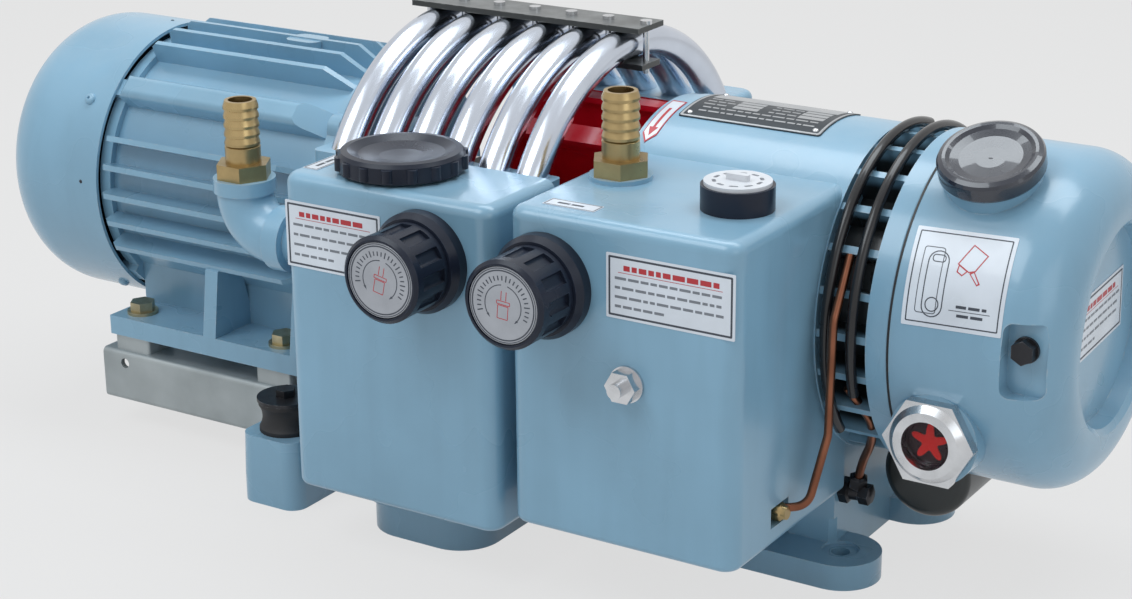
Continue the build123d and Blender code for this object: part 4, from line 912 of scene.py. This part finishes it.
def make_camera(scene):
    """Camera in front of the oil chamber's side, looking down on the pump."""
    yaw, pitch, roll = (math.radians(angle) for angle in CAMERA_TURN)
    ahead = Vector((-math.sin(yaw) * math.cos(pitch), math.cos(yaw) * math.cos(pitch), -math.sin(pitch)))
    right = Vector((math.cos(yaw), math.sin(yaw), 0))
    up = right.cross(ahead)
    level = math.cos(roll) * right + math.sin(roll) * up
    upright = math.cos(roll) * up - math.sin(roll) * right
    camera = bpy.data.cameras.new("camera")
    camera.lens, camera.sensor_width = CAMERA_LENS, 36.0
    camera.shift_x, camera.shift_y = CAMERA_SHIFT
    camera.clip_start, camera.clip_end = 0.05, 60
    holder = add_object("camera", camera)
    turn = Matrix((level, upright, -ahead)).transposed().to_4x4()
    holder.matrix_world = Matrix.Translation(Vector(CAMERA_AT)) @ turn
    scene.camera = holder


# ---------------- operators
class PumpOperator:
    """What the pump's operators share: each one makes its pieces from the scene's settings."""
    bl_options = {"REGISTER", "UNDO"}

    def execute(self, context):
        self.make(context.scene)
        return {"FINISHED"}


class PUMP_OT_finishes(PumpOperator, bpy.types.Operator):
    """Make the finishes and put them on the solid parts"""
    bl_idname = "pump.finishes"
    bl_label = "Finishes"

    def make(self, scene):
        FINISH.update(make_finishes(scene.pump_finishes))
        for node, part in frame["nodes"].items():
            for place in part.material_slots:
                place.material = FINISH[OWN_FINISH.get(node, SLOT_OF[node])]


class PUMP_OT_name_plate(PumpOperator, bpy.types.Operator):
    """Riveted plate with blank rows on the pump cylinder, and the direction arrow beside it"""
    bl_idname = "pump.name_plate"
    bl_label = "Name Plate"

    def make(self, scene):
        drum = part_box("pump_housing")[1].z - SHAFT_Z
        name_plate(scene.pump_plates, scene.pump_hardware, drum)
        turning_arrow(drum)


class PUMP_OT_labels(PumpOperator, bpy.types.Operator):
    """Blank labels on the chambers and the oil chamber"""
    bl_idname = "pump.labels"
    bl_label = "Labels"

    def make(self, scene):
        plates = scene.pump_plates
        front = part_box("vacuum_chamber")[0].y
        for name, (x, z), width, height in (("vacuum_label", VACUUM_LABEL_XZ, 90, 42),
                                            ("pressure_label", PRESSURE_LABEL_XZ, 78, 46)):
            form_label(name, on_face(facing((x * MM, front, z * MM), FRONT)), width, height, plates)
        small = word_row(-11 * MM, 0, 22 * MM, 2.4 * MM, 2)
        for name, node, drop, (x, y), turn, width, height in (
                ("vacuum_tag", "vacuum_chamber", 3, VACUUM_TAG_XY, 0, 38, 13),
                ("pressure_tag", "pressure_chamber", 2, PRESSURE_TAG_XY, 90, 37, 12)):
            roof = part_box(node)[1].z - drop * MM
            place = facing((x * MM, y * MM, roof), UP) @ Matrix.Rotation(math.radians(turn), 4, "Z")
            form_label(name, on_face(place), width, height, plates, picture=small)
        oil_label(plates)
        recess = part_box("oil_chamber")[1].x - 14 * MM
        y, z = END_LABEL_YZ
        place = facing((recess, y * MM, z * MM), RIGHT) @ Matrix.Rotation(math.radians(3), 4, "Z")
        form_label("end_label", on_face(place), 94, 42, plates)


class PUMP_OT_control_knobs(PumpOperator, bpy.types.Operator):
    """Etched discs in the faces of the two control knobs"""
    bl_idname = "pump.control_knobs"
    bl_label = "Control Knobs"

    def make(self, scene):
        for word, turn in (("pressure", -12), ("vacuum", -5)):
            low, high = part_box(f"valve_knob_{word}")
            centre = Vector(((low.x + high.x) / 2, low.y + 1.5 * MM, (low.z + high.z) / 2))
            place = facing(centre, FRONT)
            knob_disc(word, place)
            knob_marks(word, place @ Matrix.Rotation(math.radians(turn), 4, "Z"), scene.pump_plates)


class PUMP_OT_sight_glass(PumpOperator, bpy.types.Operator):
    """Dark well with its star behind the sight glass"""
    bl_idname = "pump.sight_glass"
    bl_label = "Sight Glass"

    def make(self, scene):
        low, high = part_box("sight_glass")
        radius = (high.x - low.x) / 2
        rim = radius / MM - 0.1
        place = facing(((low.x + high.x) / 2, low.y + 3.6 * MM, (low.z + high.z) / 2), FRONT)
        well = [(0, -5), (rim, -5), (rim, 0.2), (rim - 1.4, 0.2), (rim - 2, -0.8), (0, -0.8)]
        turned_piece("sight_well", well, place, "red_paint", "well_dark", 60)
        star = []
        for i in range(STAR_POINTS):
            angle = math.tau * i / STAR_POINTS
            lobe = max(0.0, math.cos(STAR_LOBES * (angle - math.pi / 2)) * 0.5 + 0.5) ** 1.5
            reach = radius * (0.34 + 0.46 * lobe)
            star.append((reach * math.cos(angle), reach * math.sin(angle)))
        flat_piece("sight_star", [star], -0.9 * MM, 0.1 * MM, on_face(place), "red_paint", "star_red")
        dome = [(0, 0.5), (rim, 0.5), (rim, 2.4), (rim - 1.2, 3.0), (rim * 0.5, 3.3), (0, 3.4)]
        lens = turned_piece("sight_lens", dome, place, "sight_glass", "sight_glass", 60)
        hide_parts("sight_glass")


class PUMP_OT_fasteners(PumpOperator, bpy.types.Operator):
    """Screws and bolts of the motor, the end plates and the lantern"""
    bl_idname = "pump.fasteners"
    bl_label = "Fasteners"

    def make(self, scene):
        hardware = scene.pump_hardware
        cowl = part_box("fan_cowl")[1]
        reach = cowl.z - SHAFT_Z
        points = outward(round_shaft(cowl.x - 20 * MM, reach, (-53, 37, 127, 217)))
        fasten("cowl_screws", "pan", points, hardware.cowl_screw, 3.2 * MM, "blue_grey_paint", seed=5)
        points = outward(round_shaft(cowl.x - 16 * MM, reach, (-86.6, 3.4, 93.4, 183.4)))
        fasten("cowl_plugs", "rivet", points, 3 * MM, 0.8 * MM, "dark_steel", seed=6)
        low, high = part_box("terminal_box")
        points = [(Vector((x, high.y, z)), BACK) for x in (low.x + 12 * MM, high.x - 12 * MM)
                  for z in (low.z + 12 * MM, high.z - 12 * MM)]
        fasten("box_screws", "pan", points, hardware.box_screw, 2.6 * MM, "bright_hardware", seed=7)
        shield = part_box("motor_frame")[1].x + 10 * MM
        end_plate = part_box("pump_housing")[0].x - 10 * MM
        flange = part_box("lantern_cover")[1].x - 14.7 * MM
        for name, face, way, radius, first, count, size, slot, seed in (
                ("shield_bolts", shield, RIGHT, 98, 45, 4, hardware.plate_bolt, "zinc_hardware", 9),
                ("end_plate_bolts", end_plate, LEFT, 97, 30, 8, hardware.plate_bolt, "bright_hardware", 11),
                ("lantern_bolts", flange, LEFT, 98, 22.5, 8, 11 * MM, "dark_steel", 13)):
            angles = [first + 360 / count * i for i in range(count)]
            points = [(spot, way) for spot in round_shaft(face, radius * MM, angles)]
            fasten(name, "hexagon", points, size, 6 * MM, slot, seed=seed)


class PUMP_OT_pipe_fittings(PumpOperator, bpy.types.Operator):
    """Nuts on the oil pipes and the second return pipe"""
    bl_idname = "pump.pipe_fittings"
    bl_label = "Pipe Fittings"

    def make(self, scene):
        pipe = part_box("copper_pipe")[0]
        nut = [(0, 0), (4.4, 0), (4.6, 0.6), (6.2, 1.0, 6), (6.2, 8, 6), (4.8, 9), (4.4, 12), (0, 12)]
        place = facing((pipe.x + 2 * MM, NUT_Y * MM, pipe.z + 3 * MM), RIGHT)
        turned_piece("pipe_nut", nut, place, "brass", "brass")
        y, z = UNION_YZ
        body = [(0, -0.2), (9, -0.2, 6), (9, 6, 6), (6, 7), (5.4, 13), (7.4, 14, 6), (7.4, 21, 6), (5, 22),
                (0, 22)]
        branch = [(0, 0), (4.6, 0), (4.8, 5), (6.6, 6, 6), (6.6, 13, 6), (4.4, 14.5), (0, 14.5)]
        bm = bmesh.new()
        lathe(bm, in_mm(body), facing(Vector((PEDESTAL_X, y, z)) * MM, RIGHT), 24)
        lathe(bm, in_mm(branch), facing(Vector((PEDESTAL_X + 10, y, z)) * MM, (0.25, -0.2, 1)), 24)
        finish_piece("return_union", bm, "dark_steel", "dark_steel")
        bm = tube_along([Vector(point) * MM for point in RETURN_PIPE], 3 * MM)
        finish_piece("return_pipe", bm, "copper", "copper", sharp=60)


class PUMP_OT_stage(PumpOperator, bpy.types.Operator):
    """Floor, lamps, sky and camera"""
    bl_idname = "pump.stage"
    bl_label = "Stage"

    def make(self, scene):
        make_floor(scene.pump_stage)
        make_sky(scene, scene.pump_stage)
        make_lamps(scene.pump_stage)
        make_camera(scene)
        scene.view_settings.view_transform = "Standard"


OPERATORS = (PUMP_OT_finishes, PUMP_OT_name_plate, PUMP_OT_labels, PUMP_OT_control_knobs, PUMP_OT_sight_glass,
             PUMP_OT_fasteners, PUMP_OT_pipe_fittings, PUMP_OT_stage)


class PUMP_PT_panel(bpy.types.Panel):
    """Lists the pump's sizes, colours and operators"""
    bl_label = "Pump"
    bl_idname = "PUMP_PT_panel"
    bl_space_type = "VIEW_3D"
    bl_region_type = "UI"
    bl_category = "Pump"

    def draw(self, context):
        for group in GROUPS:
            box = self.layout.box()
            settings = getattr(context.scene, group)
            for key in settings.__annotations__:
                box.prop(settings, key)
        for operator in OPERATORS:
            self.layout.operator(operator.bl_idname)


def register():
    for item in (*GROUPS.values(), *OPERATORS, PUMP_PT_panel):
        bpy.utils.register_class(item)
    for name, group in GROUPS.items():
        setattr(bpy.types.Scene, name, PointerProperty(type=group))


def unregister():
    for name in GROUPS:
        delattr(bpy.types.Scene, name)
    for item in reversed((*GROUPS.values(), *OPERATORS, PUMP_PT_panel)):
        bpy.utils.unregister_class(item)


def main():
    register()
    for operator in OPERATORS:
        group, name = operator.bl_idname.split(".")
        getattr(getattr(bpy.ops, group), name)()


if __name__ == "__main__":
    main()
